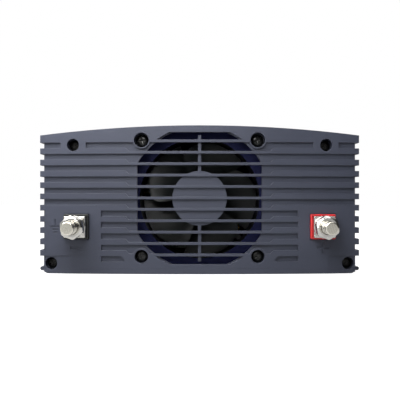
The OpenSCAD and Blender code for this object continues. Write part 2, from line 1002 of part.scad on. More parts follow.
module scale_z(side) {
    if (side > 0) children();
    else mirror([0, 0, 1]) children();
}

// ---------- Controls ----------

rocker_axis = case_l + 0.4;

module switch_body() {
    x = switch_at[0];
    z = switch_at[1];
    color("#17181a") place() difference() {
        union() {
            block(x, z, case_l + 0.02, [17, 1.5, 23]);
            block(x, z, case_l - 18, [13, 18.1, 19]);
        }
        block(x, z, case_l - 6, [10.2, 12, 16.4]);
    }
}

module switch_rocker() {
    x = switch_at[0];
    z = switch_at[1];
    color("#202225") place() translate([x - 4.9, rocker_axis, z]) rotate([rocker_tilt, 0, 0])
        rotate([90, 0, 90]) linear_extrude(9.8) polygon([
            [-2.6, -7], [2.6, -7.5], [3.4, -6.9], [2.1, 0], [3.4, 6.9], [2.6, 7.5], [-2.6, 7]
        ]);
}

module breaker_body() {
    x = breaker_at[0];
    z = breaker_at[1];
    color("#17181a") place() difference() {
        union() {
            block(x, z, case_l - face_t - 22, [15, 21.9, 24]);
            rod(x, z, case_l - face_t - 1, face_t + 5, 5.4);
        }
        rod(x, z, case_l - 8, 20, 3.2);
    }
}

module breaker_nut() {
    x = breaker_at[0];
    z = breaker_at[1];
    color("#2a2b2e") place() difference() {
        hex_rod(x, z, case_l + 0.02, 2.6, 14);
        rod(x, z, case_l - 1, 6, 5.45);
    }
}

module breaker_button() {
    x = breaker_at[0];
    z = breaker_at[1];
    color("#17181a") place() {
        rod(x, z, case_l - 7.8, 13.6, 3);
        rod(x, z, case_l + 5.7, 0.5, 3, 2.5);
    }
}

dip_pitch = 2.54;
dip_travel = 1.8;

module dip_block() {
    x = dip_at[0];
    z = dip_at[1];
    color("#b02a2c") place() difference() {
        block(x, z, case_l - 8, [11.2, 7.2, 7.2]);
        for (n = [0 : 3])
            block(x + (n - 1.5) * dip_pitch, z, case_l - 3.2, [1.5, 5, 4.2]);
    }
}

module dip_lever(n) {
    color("#e6e6e2") place() block(dip_at[0] + (n - 2.5) * dip_pitch,
        dip_at[1] - dip_travel / 2 - 0.1, case_l - 3.1, [1.3, 3, 1.8]);
}

module status_lenses() {
    color("#7fd08a") place() for (x = lens_x) {
        rod(x, lens_z, case_l - 10, 10.2, 1.6);
        rod(x, lens_z, case_l + 0.1, 0.7, 1.6, 1.1);
    }
}

module remote_jack() {
    x = jack_at[0];
    z = jack_at[1];
    color("#17181a") place() difference() {
        block(x, z, case_l - 16, [12.2, 16.2, 10.2]);
        block(x, z - 0.6, case_l - 12, [9.8, 14, 6.8]);
        block(x, z + 3.2, case_l - 12, [4.6, 14, 2]);
    }
}

module earth_stud() {
    x = earth_at[0];
    z = earth_at[1];
    color("#cfcabc") place() {
        rod(x, z, case_l - face_t - 7.5, 2.5, 5);
        rod(x, z, case_l - face_t - 5.1, face_t + 5.1 + 6, 2.05);
        rod(x, z, case_l + 5.9, earth_out - 6.7, 2.5);
        rod(x, z, case_l + earth_out - 0.8, 0.8, 2.5, 1.9);
    }
}

module earth_nuts() {
    x = earth_at[0];
    z = earth_at[1];
    color("#c9c6bd") place() {
        difference() {
            rod(x, z, case_l + 0.02, 1.2, 4.8);
            rod(x, z, case_l - 1, 4, 2.6);
        }
        difference() {
            hex_rod(x, z, case_l + 1.24, 4.2, 8, 15);
            rod(x, z, case_l, 8, 2.55);
        }
        difference() {
            hex_rod(x, z, case_l - face_t - 4.9, 4.8, 8);
            rod(x, z, case_l - face_t - 6, 8, 2.55);
        }
    }
}

top_cover();
base_tray();
dc_bezel();
ac_bezel();
dc_end_plate();
ac_end_plate();
bezel_screws();
fan_screws();
fan_nuts();
fan_frame();
fan_impeller();
rotor_yoke();
rotor_magnet();
stator_core();
stator_windings();
fan_bearings();
negative_block();
positive_block();
negative_insulator();
positive_insulator();
negative_stud();
positive_stud();
terminal_washers();
spring_washers();
terminal_nuts();
bus_bars();
main_board();
board_standoffs();
board_screws();
insulation_sheet();
input_capacitors();
link_capacitors();
blade_fuses();
transformer_cores();
transformer_windings();
choke_cores();
choke_windings();
power_transistors();
heat_spreaders();
transistor_clips();
control_board();
control_chips();
left_outlet();
right_outlet();
outlet_contacts();
outlet_earth_clips();
switch_body();
switch_rocker();
breaker_body();
breaker_nut();
breaker_button();
dip_block();
dip_lever(1);  // dip_lever_1
dip_lever(2);  // dip_lever_2
dip_lever(3);  // dip_lever_3
dip_lever(4);  // dip_lever_4
status_lenses();
remote_jack();
earth_stud();
earth_nuts();
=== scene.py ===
"""Looks for the power inverter: finishes, detailed pieces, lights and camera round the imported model."""

from __future__ import annotations

import json
import logging
import math
from collections.abc import Callable, Iterable, Sequence
from dataclasses import dataclass, field
from enum import Enum

import bmesh
import bpy
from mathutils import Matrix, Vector


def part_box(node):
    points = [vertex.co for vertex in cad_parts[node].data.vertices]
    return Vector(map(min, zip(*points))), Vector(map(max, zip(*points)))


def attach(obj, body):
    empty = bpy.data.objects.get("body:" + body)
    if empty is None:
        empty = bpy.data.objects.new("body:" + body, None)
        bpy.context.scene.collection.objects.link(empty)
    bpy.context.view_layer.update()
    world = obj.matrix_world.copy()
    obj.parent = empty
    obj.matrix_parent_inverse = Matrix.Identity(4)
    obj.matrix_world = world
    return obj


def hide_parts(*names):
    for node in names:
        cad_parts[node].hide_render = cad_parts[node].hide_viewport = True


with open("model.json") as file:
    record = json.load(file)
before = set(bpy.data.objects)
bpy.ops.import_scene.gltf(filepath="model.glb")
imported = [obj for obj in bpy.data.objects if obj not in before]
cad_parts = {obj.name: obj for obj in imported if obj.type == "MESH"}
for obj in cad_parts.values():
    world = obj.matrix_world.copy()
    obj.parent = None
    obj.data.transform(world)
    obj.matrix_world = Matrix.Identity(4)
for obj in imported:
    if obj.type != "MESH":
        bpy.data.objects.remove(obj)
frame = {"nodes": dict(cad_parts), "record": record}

LOG = logging.getLogger("inverter")
MM = 0.001

Colour = tuple[float, float, float]
Point = tuple[float, float, float]
Span = tuple[float, float]

# The bezels' four corner screws on the right, as x and z, and how far the upper fan screws' seats lie back
CORNER_SCREWS = ((78.2 * MM, 79.4 * MM), (92.0 * MM, 6.3 * MM))
UPPER_SEAT_DEPTH = 1.4 * MM
MIDDLE_HEIGHT = 50.0 * MM
# The square collars round the battery terminals
COLLAR_HALF = 7.7 * MM
COLLAR_HOLE_HALF = 6.6 * MM
COLLAR_FLANGE = 2.5 * MM
# The chokes' outer reach and turns, and the transistors' rows
CHOKE_REACH = 20.8 * MM
CHOKE_PAIRS = 12
PAIR_SPREAD = 5.4
TRANSISTORS = 8
TRANSISTOR_PITCH = 22.0 * MM
LEVEL = (0.0, 0.0, 0.0)


# ---------- Shader graphs ----------


class Graph:
    """Adds nodes to a shader tree and links them in one call."""

    def __init__(self, tree: bpy.types.NodeTree) -> None:
        """Starts on a tree.

        Args:
            tree: the node tree to fill.
        """
        self.tree = tree

    def add(self, kind: str, settings: dict | None = None, **inputs: object) -> bpy.types.Node:
        """Adds one node.

        Args:
            kind: the node's type name.
            settings: attributes of the node itself.
            inputs: socket values or sockets to link from, by socket name with _ for a space.

        Returns:
            The new node.
        """
        node = self.tree.nodes.new(kind)
        for key, value in (settings or {}).items():
            setattr(node, key, value)
        for key, value in inputs.items():
            self.feed(node, key.replace("_", " "), value)
        return node

    def feed(self, node: bpy.types.Node, socket: str | int, value: object) -> None:
        """Sets an input's value, or links a socket to it.

        Args:
            node: the node whose input is set.
            socket: the input's name or index.
            value: a number, a tuple, or an output socket to link from.
        """
        target = node.inputs[socket]
        if isinstance(value, bpy.types.NodeSocket):
            self.tree.links.new(value, target)
        else:
            target.default_value = value

    def math(self, operation: str, a: object, b: object = 0.0, c: object = 0.0) -> bpy.types.NodeSocket:
        """Adds a math node.

        Args:
            operation: the node's operation.
            a: the first value or socket.
            b: the second value or socket.
            c: the third value or socket.

        Returns:
            The node's output.
        """
        node = self.add("ShaderNodeMath", {"operation": operation})
        for index, value in enumerate((a, b, c)):
            self.feed(node, index, value)
        return node.outputs[0]

    def remap(self, value: object, source: Span, target: Span) -> bpy.types.NodeSocket:
        """Maps a value smoothly from one range to another.

        Args:
            value: the value or socket to map.
            source: the range that the value covers.
            target: the range to map it to.

        Returns:
            The mapped value.
        """
        node = self.add("ShaderNodeMapRange", {"interpolation_type": "SMOOTHSTEP"}, Value=value)
        for name, number in zip(("From Min", "From Max", "To Min", "To Max"), (*source, *target)):
            node.inputs[name].default_value = number
        return node.outputs[0]

    def mix(self, factor: object, a: object, b: object) -> bpy.types.NodeSocket:
        """Mixes two colours.

        Args:
            factor: how much of the second colour shows.
            a: the first colour or socket.
            b: the second colour or socket.

        Returns:
            The mixed colour.
        """
        node = self.add("ShaderNodeMix", {"data_type": "RGBA"})
        self.feed(node, 0, factor)
        for index, value in ((6, a), (7, b)):
            self.feed(node, index, (*value, 1.0) if isinstance(value, tuple) and len(value) == 3 else value)
        return node.outputs[2]


def effect(
    name: str, inputs: dict[str, object], outputs: dict[str, str], fill: Callable[[Graph, dict, dict], None]
) -> bpy.types.ShaderNodeTree:
    """Makes a shader node group, once.

    Args:
        name: the group's name.
        inputs: each input's name and default, a number or a colour; a vector input's default is None.
        outputs: each output's name and socket type.
        fill: draws the group from its input sockets, putting results in the dict of outputs.

    Returns:
        The group.
    """
    if name in bpy.data.node_groups:
        return bpy.data.node_groups[name]
    tree = bpy.data.node_groups.new(name, "ShaderNodeTree")
    for label, default in inputs.items():
        kind = "NodeSocketVector" if default is None else "NodeSocketFloat"
        if isinstance(default, tuple):
            kind = "NodeSocketColor"
        socket = tree.interface.new_socket(label, in_out="INPUT", socket_type=kind)
        if isinstance(default, tuple):
            socket.default_value = (*default, 1.0)
        elif default is not None:
            socket.default_value = default
    for label, kind in outputs.items():
        tree.interface.new_socket(label, in_out="OUTPUT", socket_type=kind)
    graph = Graph(tree)
    start = tree.nodes.new("NodeGroupInput")
    end = tree.nodes.new("NodeGroupOutput")
    results: dict[str, object] = {}
    fill(graph, {label: start.outputs[label] for label in inputs}, results)
    for label, value in results.items():
        graph.feed(end, label, value)
    return tree


def fine_grain() -> bpy.types.ShaderNodeTree:
    """A two-scale grain: fine texture over slow, cloudy change of shade.

    Returns:
        The group, giving Colour, Fine and Patch values from 0 to 1, and Height.
    """

    def fill(g: Graph, given: dict, results: dict) -> None:
        fine = g.add("ShaderNodeTexNoise", Vector=given["Vector"], Scale=given["Grain"], Detail=3.0)
        cells = g.add("ShaderNodeTexVoronoi", Vector=given["Vector"], Scale=given["Grain"])
        patch = g.add("ShaderNodeTexNoise", Vector=given["Vector"], Scale=given["Patch"], Detail=2.0)
        height = g.math("MULTIPLY_ADD", cells.outputs["Distance"], 0.45, fine.outputs["Fac"])
        slow = g.remap(patch.outputs["Fac"], (0.3, 0.7), (0.0, 1.0))
        speck = g.remap(fine.outputs["Fac"], (0.35, 0.65), (0.0, 1.0))
        shade = g.math("MULTIPLY_ADD", speck, 0.45, g.math("MULTIPLY", slow, 0.55))
        results["Colour"] = g.mix(shade, given["Dark"], given["Light"])
        results["Fine"] = speck
        results["Patches"] = slow
        results["Height"] = height

    return effect(
        "fine_grain",
        {"Vector": None, "Dark": (0.1, 0.1, 0.1), "Light": (0.2, 0.2, 0.2), "Grain": 1500.0, "Patch": 25.0},
        {
            "Colour": "NodeSocketColor",
            "Fine": "NodeSocketFloat",
            "Patches": "NodeSocketFloat",
            "Height": "NodeSocketFloat",
        },
        fill,
    )


def worn_edges() -> bpy.types.ShaderNodeTree:
    """Finds outside edges by rounding them, breaks the line up, lightens them towards the edge colour as worn
    paint and a painted highlight, and rounds the shading there.

    Returns:
        The group, giving the recolour (worn paint with a painted edge highlight) and the rounded normal.
    """

    def fill(g: Graph, given: dict, results: dict) -> None:
        rounded = g.add("ShaderNodeBevel", {"samples": 6}, Radius=given["Radius"])
        true = g.add("ShaderNodeNewGeometry")
        turn = g.add("ShaderNodeVectorMath", {"operation": "DOT_PRODUCT"})
        g.feed(turn, 0, rounded.outputs["Normal"])
        g.feed(turn, 1, true.outputs["Normal"])
        edge = g.remap(turn.outputs["Value"], (0.8, 0.985), (1.0, 0.0))
        breaks = g.add("ShaderNodeTexNoise", Vector=given["Vector"], Scale=180.0, Detail=4.0)
        # Edges are lightened towards the edge colour: worn paint, and a painted highlight where light would
        # catch them.
        rubbed_and_highlit = g.math("MULTIPLY", edge, g.remap(breaks.outputs["Fac"], (0.38, 0.62), (0.35, 1.0)))
        mask = g.math("MULTIPLY", rubbed_and_highlit, given["Amount"])
        results["Colour"] = g.mix(mask, given["Colour"], given["Bare"])
        results["Normal"] = rounded.outputs["Normal"]

    return effect(
        "worn_edges",
        {"Vector": None, "Colour": (0.1, 0.1, 0.1), "Bare": (0.4, 0.4, 0.4), "Radius": 0.0004, "Amount": 0.5},
        {"Colour": "NodeSocketColor", "Normal": "NodeSocketVector"},
        fill,
    )


def drawn_streaks() -> bpy.types.ShaderNodeTree:
    """Fine parallel lines, as drawn, ground or extruded metal has.

    Returns:
        The group, giving Streak from 0 to 1.
    """

    def fill(g: Graph, given: dict, results: dict) -> None:
        squeeze = g.add("ShaderNodeVectorMath", {"operation": "MULTIPLY"})
        g.feed(squeeze, 0, given["Vector"])
        g.feed(squeeze, 1, given["Along"])
        lines = g.add("ShaderNodeTexNoise", Vector=squeeze.outputs[0], Scale=given["Scale"], Detail=5.0)
        results["Streak"] = g.remap(lines.outputs["Fac"], (0.3, 0.7), (0.0, 1.0))

    return effect(
        "drawn_streaks",
        {"Vector": None, "Along": None, "Scale": 900.0},
        {"Streak": "NodeSocketFloat"},
        fill,
    )


def turned_rings() -> bpy.types.ShaderNodeTree:
    """Rings round an axis along Y, as a lathe or a thread-rolling die leaves on an end face.

    Returns:
        The group, giving Ring from 0 to 1.
    """

    def fill(g: Graph, given: dict, results: dict) -> None:
        rings = g.add(
            "ShaderNodeTexWave",
            {"wave_type": "RINGS", "rings_direction": "Y"},
            Vector=given["Vector"],
            Scale=given["Scale"],
            Distortion=1.5,
            Detail=2.0,
        )
        results["Ring"] = rings.outputs["Fac"]

    return effect(
        "turned_rings", {"Vector": None, "Scale": 300.0}, {"Ring": "NodeSocketFloat"}, fill
    )


def board_tracks() -> bpy.types.ShaderNodeTree:
    """Solder-masked copper: broad tracks, ground fill and rows of small vias.

    Returns:
        The group, giving the track mask and the bare solder mask.
    """

    def fill(g: Graph, given: dict, results: dict) -> None:
        blocks = g.add(
            "ShaderNodeTexBrick",
            {"offset": 0.37, "squash": 1.6, "squash_frequency": 3},
            Vector=given["Vector"],
            Scale=given["Scale"],
            Mortar_Size=0.035,
        )
        cells = g.add("ShaderNodeTexVoronoi", {"feature": "F1"}, Vector=given["Vector"], Scale=430.0)
        results["Track"] = g.math("SUBTRACT", 1.0, blocks.outputs["Fac"])
        results["Via"] = g.remap(cells.outputs["Distance"], (0.12, 0.18), (1.0, 0.0))

    return effect(
        "board_tracks",
        {"Vector": None, "Scale": 90.0},
        {"Track": "NodeSocketFloat", "Via": "NodeSocketFloat"},
        fill,
    )


class Pattern(Enum):
    """What lies over a finish's grain."""

    NONE = "none"
    STREAKS = "streaks"
    RINGS = "rings"
    TRACKS = "tracks"


@dataclass(frozen=True)
class Finish:
    """One finish: its colours, gloss and texture, as a procedural material.

    Attributes:
        name: the material's name.
        dark: the grain's darker colour.
        light: the grain's lighter colour.
        roughness: the lowest and highest roughness.
        metallic: 1 for bare metal.
        grain: grain cells to the metre.
        bump: the grain's height, in metres.
        bare_and_highlight: the colour on the edges, paint worn through and a painted highlight; with tracks,
            the vias' colour.
        wear_and_highlight: how strongly the edge colour shows, from 0 to 1, as wear and as a painted
            highlight.
        edge: the radius of the rounded edges, in metres; 0 leaves edges and surface smooth.
        coat: clear coat weight.
        pattern: what lies over the grain.
        pattern_scale: the pattern's scale.
        along: for streaks, how far each axis is squeezed.
        transmission: how much light passes through.
        specular: the dielectric reflection's level.
    """

    name: str
    dark: Colour
    light: Colour
    roughness: Span
    metallic: float = 0.0
    grain: float = 1800.0
    bump: float = 0.00002
    bare_and_highlight: Colour = (0.5, 0.5, 0.5)
    wear_and_highlight: float = 0.0
    edge: float = 0.0003
    coat: float = 0.0
    pattern: Pattern = Pattern.NONE
    pattern_scale: float = 300.0
    along: Point = (1.0, 0.03, 1.0)
    transmission: float = 0.0
    specular: float = 0.5

    def material(self) -> bpy.types.Material:
        """Builds the material, once.

        Returns:
            The material.
        """
        if self.name in bpy.data.materials:
            return bpy.data.materials[self.name]
        material = bpy.data.materials.new(self.name)
        material.use_nodes = True
        material.node_tree.nodes.clear()
        g = Graph(material.node_tree)
        where = g.add("ShaderNodeTexCoord").outputs["Object"]
        grain = g.add("ShaderNodeGroup", {"node_tree": fine_grain()}, Vector=where)
        for label, shade in (("Dark", self.dark), ("Light", self.light)):
            grain.inputs[label].default_value = (*shade, 1.0)
        grain.inputs["Grain"].default_value = self.grain
        colour = grain.outputs["Colour"]
        fine = g.math("MULTIPLY", grain.outputs["Fine"], 0.4)
        gloss = g.math("MULTIPLY_ADD", grain.outputs["Patches"], 0.6, fine)
        colour, gloss = self._pattern(g, where, colour, gloss)
        rough = g.remap(gloss, (0.0, 1.0), self.roughness)
        shader = g.add("ShaderNodeBsdfPrincipled", Base_Color=colour, Roughness=rough, Metallic=self.metallic)
        if self.edge > 0.0:
            # The edge colour is worn paint and a painted highlight along every outside edge.
            edges = g.add("ShaderNodeGroup", {"node_tree": worn_edges()}, Vector=where, Colour=colour)
            edges.inputs["Bare"].default_value = (*self.bare_and_highlight, 1.0)
            edges.inputs["Radius"].default_value = self.edge
            edges.inputs["Amount"].default_value = self.wear_and_highlight
            bump = g.add(
                "ShaderNodeBump",
                Height=grain.outputs["Height"],
                Normal=edges.outputs["Normal"],
                Strength=0.6,
                Distance=self.bump,
            )
            g.feed(shader, "Base Color", edges.outputs["Colour"])
            g.feed(shader, "Normal", bump.outputs["Normal"])
        shader.inputs["Coat Weight"].default_value = self.coat
        shader.inputs["Coat Roughness"].default_value = 0.12
        shader.inputs["Transmission Weight"].default_value = self.transmission
        shader.inputs["Specular IOR Level"].default_value = self.specular
        g.add("ShaderNodeOutputMaterial", Surface=shader.outputs["BSDF"])
        return material

    def _pattern(
        self, g: Graph, where: bpy.types.NodeSocket, colour: object, gloss: object
    ) -> tuple[object, object]:
        """Lays the pattern over the grain.

        Args:
            g: the material's graph.
            where: object coordinates.
            colour: the grain's colour.
            gloss: the grain's value for roughness.

        Returns:
            The new colour and the new value for roughness.
        """
        if self.pattern is Pattern.STREAKS:
            group = g.add("ShaderNodeGroup", {"node_tree": drawn_streaks()}, Vector=where)
            group.inputs["Along"].default_value = self.along
            group.inputs["Scale"].default_value = self.pattern_scale
            streak = group.outputs["Streak"]
            colour = g.mix(g.math("MULTIPLY", streak, 0.18), colour, self.light)
            return colour, g.math("MULTIPLY_ADD", streak, 0.6, g.math("MULTIPLY", gloss, 0.4))
        if self.pattern is Pattern.RINGS:
            group = g.add("ShaderNodeGroup", {"node_tree": turned_rings()}, Vector=where)
            group.inputs["Scale"].default_value = self.pattern_scale
            return colour, g.math("MULTIPLY_ADD", group.outputs["Ring"], 0.5, g.math("MULTIPLY", gloss, 0.5))
        if self.pattern is Pattern.TRACKS:
            group = g.add("ShaderNodeGroup", {"node_tree": board_tracks()}, Vector=where)
            group.inputs["Scale"].default_value = self.pattern_scale
            colour = g.mix(g.math("MULTIPLY", group.outputs["Track"], 0.55), colour, self.light)
            colour = g.mix(group.outputs["Via"], colour, self.bare_and_highlight)
        return colour, gloss


# The case's edge colour is lighter than its paint: a painted highlight along the edges, as well as wear.
CASE_COAT = Finish(
    "case_coat", (0.045, 0.0505, 0.0755), (0.055, 0.0617, 0.091), (0.44, 0.5), grain=2600.0, bump=0.000025,
    bare_and_highlight=(0.12, 0.13, 0.17), wear_and_highlight=0.4, edge=0.0003, specular=0.45,
)
# The recessed plate behind the grille: a darker, more saturated navy than the case paint, as painted shade
# for its recess.
SHADED_PLATE_COAT = Finish(
    "shaded_plate_coat", (0.014, 0.017, 0.07), (0.018, 0.022, 0.086), (0.5, 0.6), grain=2200.0,
    bare_and_highlight=(0.05, 0.055, 0.14), wear_and_highlight=0.2, specular=0.15,
)
# The grey edge colour round the screws' cross recesses is painted glints, as well as wear.
BLACK_STEEL = Finish(
    "black_steel", (0.003, 0.0035, 0.0035), (0.006, 0.0065, 0.0065), (0.12, 0.2), grain=1200.0, bump=0.000001,
    bare_and_highlight=(0.1, 0.105, 0.1), wear_and_highlight=0.5, edge=0.00012, specular=0.5,
)
BLACK_OXIDE = Finish(
    "black_oxide", (0.003, 0.0033, 0.0045), (0.005, 0.0055, 0.007), (0.3, 0.42), grain=1200.0, bump=0.000002,
    bare_and_highlight=(0.02, 0.021, 0.022), wear_and_highlight=0.25, edge=0.00015, specular=0.16,
)
ZINC_STEEL = Finish(
    "zinc_steel", (0.52, 0.52, 0.5), (0.66, 0.65, 0.62), (0.25, 0.42), metallic=1.0, grain=1400.0,
    bump=0.00001, bare_and_highlight=(0.8, 0.8, 0.78), wear_and_highlight=0.3, edge=0.0002,
)
BLACK_PLASTIC = Finish(
    "black_plastic", (0.012, 0.013, 0.014), (0.018, 0.019, 0.02), (0.3, 0.42), grain=2400.0, bump=0.00002,
    bare_and_highlight=(0.04, 0.04, 0.04), wear_and_highlight=0.15, edge=0.0003,
)
FAN_PLASTIC = Finish(
    "fan_plastic", (0.012, 0.014, 0.014), (0.016, 0.018, 0.018), (0.28, 0.38), grain=900.0,
    edge=0.0, specular=0.4,
)
COLLAR_PLASTIC = Finish(
    "collar_plastic", (0.012, 0.013, 0.013), (0.018, 0.02, 0.02), (0.3, 0.4), grain=2400.0, bump=0.00001,
    bare_and_highlight=(0.05, 0.05, 0.05), wear_and_highlight=0.2, edge=0.0003,
)
RED_PLASTIC = Finish(
    "red_plastic", (0.76, 0.028, 0.032), (0.86, 0.04, 0.044), (0.28, 0.4), grain=2200.0, bump=0.00001,
    bare_and_highlight=(0.7, 0.1, 0.1), wear_and_highlight=0.15, edge=0.0004,
)
WHITE_PLASTIC = Finish(
    "white_plastic", (0.7, 0.7, 0.67), (0.8, 0.8, 0.78), (0.35, 0.45), grain=2400.0, bare_and_highlight=(0.9, 0.9, 0.9),
    wear_and_highlight=0.1, edge=0.0001,
)
DIP_PLASTIC = Finish(
    "dip_plastic", (0.36, 0.018, 0.02), (0.45, 0.028, 0.03), (0.35, 0.45), grain=2400.0, edge=0.00015,
    bare_and_highlight=(0.6, 0.1, 0.1), wear_and_highlight=0.1,
)
TIN_PLATE = Finish(
    "tin_plate", (0.66, 0.645, 0.61), (0.78, 0.765, 0.73), (0.1, 0.2), metallic=1.0, grain=500.0,
    bump=0.000002, bare_and_highlight=(0.92, 0.9, 0.86), wear_and_highlight=0.35, edge=0.00035,
)
STUD_PLATE = Finish(
    "stud_plate", (0.74, 0.71, 0.62), (0.86, 0.83, 0.74), (0.12, 0.22), metallic=1.0, grain=600.0,
    bump=0.000003, bare_and_highlight=(0.9, 0.88, 0.82), wear_and_highlight=0.3, edge=0.00015, pattern=Pattern.RINGS, pattern_scale=240.0,
)
COPPER = Finish(
    "copper", (0.56, 0.25, 0.13), (0.72, 0.36, 0.2), (0.2, 0.38), metallic=1.0, grain=700.0,
    bare_and_highlight=(0.85, 0.5, 0.32), wear_and_highlight=0.2, pattern=Pattern.STREAKS, pattern_scale=700.0,
)
BRASS = Finish(
    "brass", (0.6, 0.43, 0.17), (0.76, 0.58, 0.27), (0.2, 0.35), metallic=1.0, grain=900.0,
    bare_and_highlight=(0.9, 0.76, 0.45), wear_and_highlight=0.2,
)
BOARD = Finish(
    "board_laminate", (0.012, 0.07, 0.03), (0.03, 0.14, 0.06), (0.25, 0.36), grain=900.0, coat=0.4,
    bare_and_highlight=(0.6, 0.6, 0.55), edge=0.0002, pattern=Pattern.TRACKS, pattern_scale=70.0,
)
INSULATION = Finish(
    "insulation", (0.6, 0.5, 0.26), (0.72, 0.62, 0.36), (0.4, 0.5), grain=1100.0, bare_and_highlight=(0.8, 0.7, 0.5),
)
SLEEVE = Finish(
    "capacitor_sleeve", (0.01, 0.014, 0.04), (0.018, 0.024, 0.06), (0.2, 0.32), grain=900.0, coat=0.3,
    bare_and_highlight=(0.08, 0.08, 0.12), wear_and_highlight=0.15, edge=0.0006,
)
FERRITE = Finish(
    "ferrite", (0.018, 0.018, 0.02), (0.04, 0.04, 0.043), (0.5, 0.7), grain=1500.0, bump=0.00005,
    bare_and_highlight=(0.1, 0.1, 0.1), wear_and_highlight=0.3,
)
TOROID = Finish(
    "toroid_coat", (0.03, 0.12, 0.04), (0.05, 0.17, 0.07), (0.4, 0.55), grain=1200.0, bare_and_highlight=(0.1, 0.2, 0.1),
)
TAPE = Finish(
    "winding_tape", (0.075, 0.045, 0.012), (0.11, 0.07, 0.02), (0.28, 0.4), grain=800.0, coat=0.3,
    bare_and_highlight=(0.16, 0.11, 0.04), pattern=Pattern.STREAKS, pattern_scale=160.0, along=(0.2, 0.2, 3.0),
)
FUSE = Finish("fuse_plastic", (0.62, 0.4, 0.03), (0.75, 0.52, 0.06), (0.15, 0.25), grain=900.0, coat=0.4)
CORE_STEEL = Finish(
    "core_steel", (0.26, 0.26, 0.27), (0.38, 0.38, 0.39), (0.35, 0.5), metallic=1.0, grain=1300.0,
    pattern=Pattern.STREAKS, pattern_scale=1500.0, along=(0.05, 3.0, 0.05),
)
ALUMINIUM = Finish(
    "mill_aluminium", (0.66, 0.67, 0.69), (0.8, 0.81, 0.82), (0.28, 0.45), metallic=1.0, grain=900.0,
    bare_and_highlight=(0.9, 0.9, 0.9), wear_and_highlight=0.2, pattern=Pattern.STREAKS, pattern_scale=900.0,
)
EPOXY = Finish(
    "epoxy_black", (0.01, 0.01, 0.011), (0.018, 0.018, 0.02), (0.45, 0.6), grain=1800.0,
    bare_and_highlight=(0.06, 0.06, 0.06), wear_and_highlight=0.1,
)
LENS = Finish(
    "lens_green", (0.12, 0.5, 0.16), (0.16, 0.6, 0.22), (0.06, 0.12), grain=300.0, bump=0.000002,
    transmission=0.4, edge=0.0004, bare_and_highlight=(0.4, 0.8, 0.45),
)

FINISHES: dict[str, Finish] = {
    "case_paint": CASE_COAT,
    "end_plate_paint": SHADED_PLATE_COAT,
    "black_oxide": BLACK_STEEL,
    "zinc_steel": ZINC_STEEL,
    "black_plastic": BLACK_PLASTIC,
    "red_plastic": RED_PLASTIC,
    "white_plastic": WHITE_PLASTIC,
    "terminal_plating": TIN_PLATE,
    "copper": COPPER,
    "brass": BRASS,
    "board_green": BOARD,
    "insulation": INSULATION,
    "capacitor_sleeve": SLEEVE,
    "ferrite": FERRITE,
    "toroid_coat": TOROID,
    "winding_tape": TAPE,
    "fuse_plastic": FUSE,
    "core_steel": CORE_STEEL,
    "aluminium_plate": ALUMINIUM,
    "epoxy_black": EPOXY,
    "lens": LENS,
    "dip_red": DIP_PLASTIC,
}


# ---------- Meshes ----------


def new_object(
    name: str, build: bmesh.types.BMesh, finish: Finish, sharp_deg: float = 35.0
) -> bpy.types.Object:
    """Turns a bmesh into an object at the origin, smooth but for its sharp edges.

    Args:
        name: the piece's name.
        build: the shape, in the row's frame; it is freed.
        finish: the finish to dress it in.
        sharp_deg: edges that turn more than this stay sharp.

    Returns:
        The new object, linked to the scene.
    """
    bmesh.ops.recalc_face_normals(build, faces=build.faces)
    mesh = bpy.data.meshes.new(name)
    build.to_mesh(mesh)
    build.free()
    for polygon in mesh.polygons:
        polygon.use_smooth = True
    mesh.set_sharp_from_angle(angle=math.radians(sharp_deg))
    mesh.materials.append(finish.material())
    piece = bpy.data.objects.new(name, mesh)
    bpy.context.scene.collection.objects.link(piece)
    return piece


def skin(build: bmesh.types.BMesh, rows: Sequence[Sequence[bmesh.types.BMVert]], wrap: bool) -> None:
    """Joins rows of vertices with quads.

    Args:
        build: the shape that holds the vertices.
        rows: rows of equal length.
        wrap: joins each row's last vertex to its first.
    """
    for low, high in zip(rows, rows[1:]):
        last = len(low) if wrap else len(low) - 1
        for i in range(last):
            j = (i + 1) % len(low)
            build.faces.new((low[i], low[j], high[j], high[i]))


def tube(build: bmesh.types.BMesh, rows: Sequence[Sequence[bmesh.types.BMVert]]) -> None:
    """Joins closed rows of vertices, with one flat face over each end.

    Args:
        build: the shape that holds the vertices.
        rows: rows of equal length.
    """
    skin(build, rows, wrap=True)
    build.faces.new(rows[0])
    build.faces.new(rows[-1])


def spokes(build: bmesh.types.BMesh, centre: bmesh.types.BMVert, row: Sequence[bmesh.types.BMVert]) -> None:
    """Closes a row of vertices with triangles that meet at its middle.

    Args:
        build: the shape that holds the vertices.
        centre: the middle.
        row: the vertices round it.
    """
    for i, vert in enumerate(row):
        build.faces.new((centre, vert, row[(i + 1) % len(row)]))


def round_angles(count: int) -> list[float]:
    """Evenly spaced angles round a circle.

    Args:
        count: how many.

    Returns:
        The angles, in radians.
    """
    return [math.tau * i / count for i in range(count)]


def circle(
    build: bmesh.types.BMesh, axis: Span, y: float, radii: Iterable[float], angles: Iterable[float]
) -> list[bmesh.types.BMVert]:
    """Adds vertices round an axis along Y.

    Args:
        build: the shape.
        axis: the axis, as x and z in metres.
        y: where along the axis, in metres.
        radii: each vertex's distance from the axis.
        angles: each vertex's direction, in radians.

    Returns:
        The vertices.
    """
    x, z = axis
    return [build.verts.new((x + r * math.cos(a), y, z + r * math.sin(a))) for r, a in zip(radii, angles)]


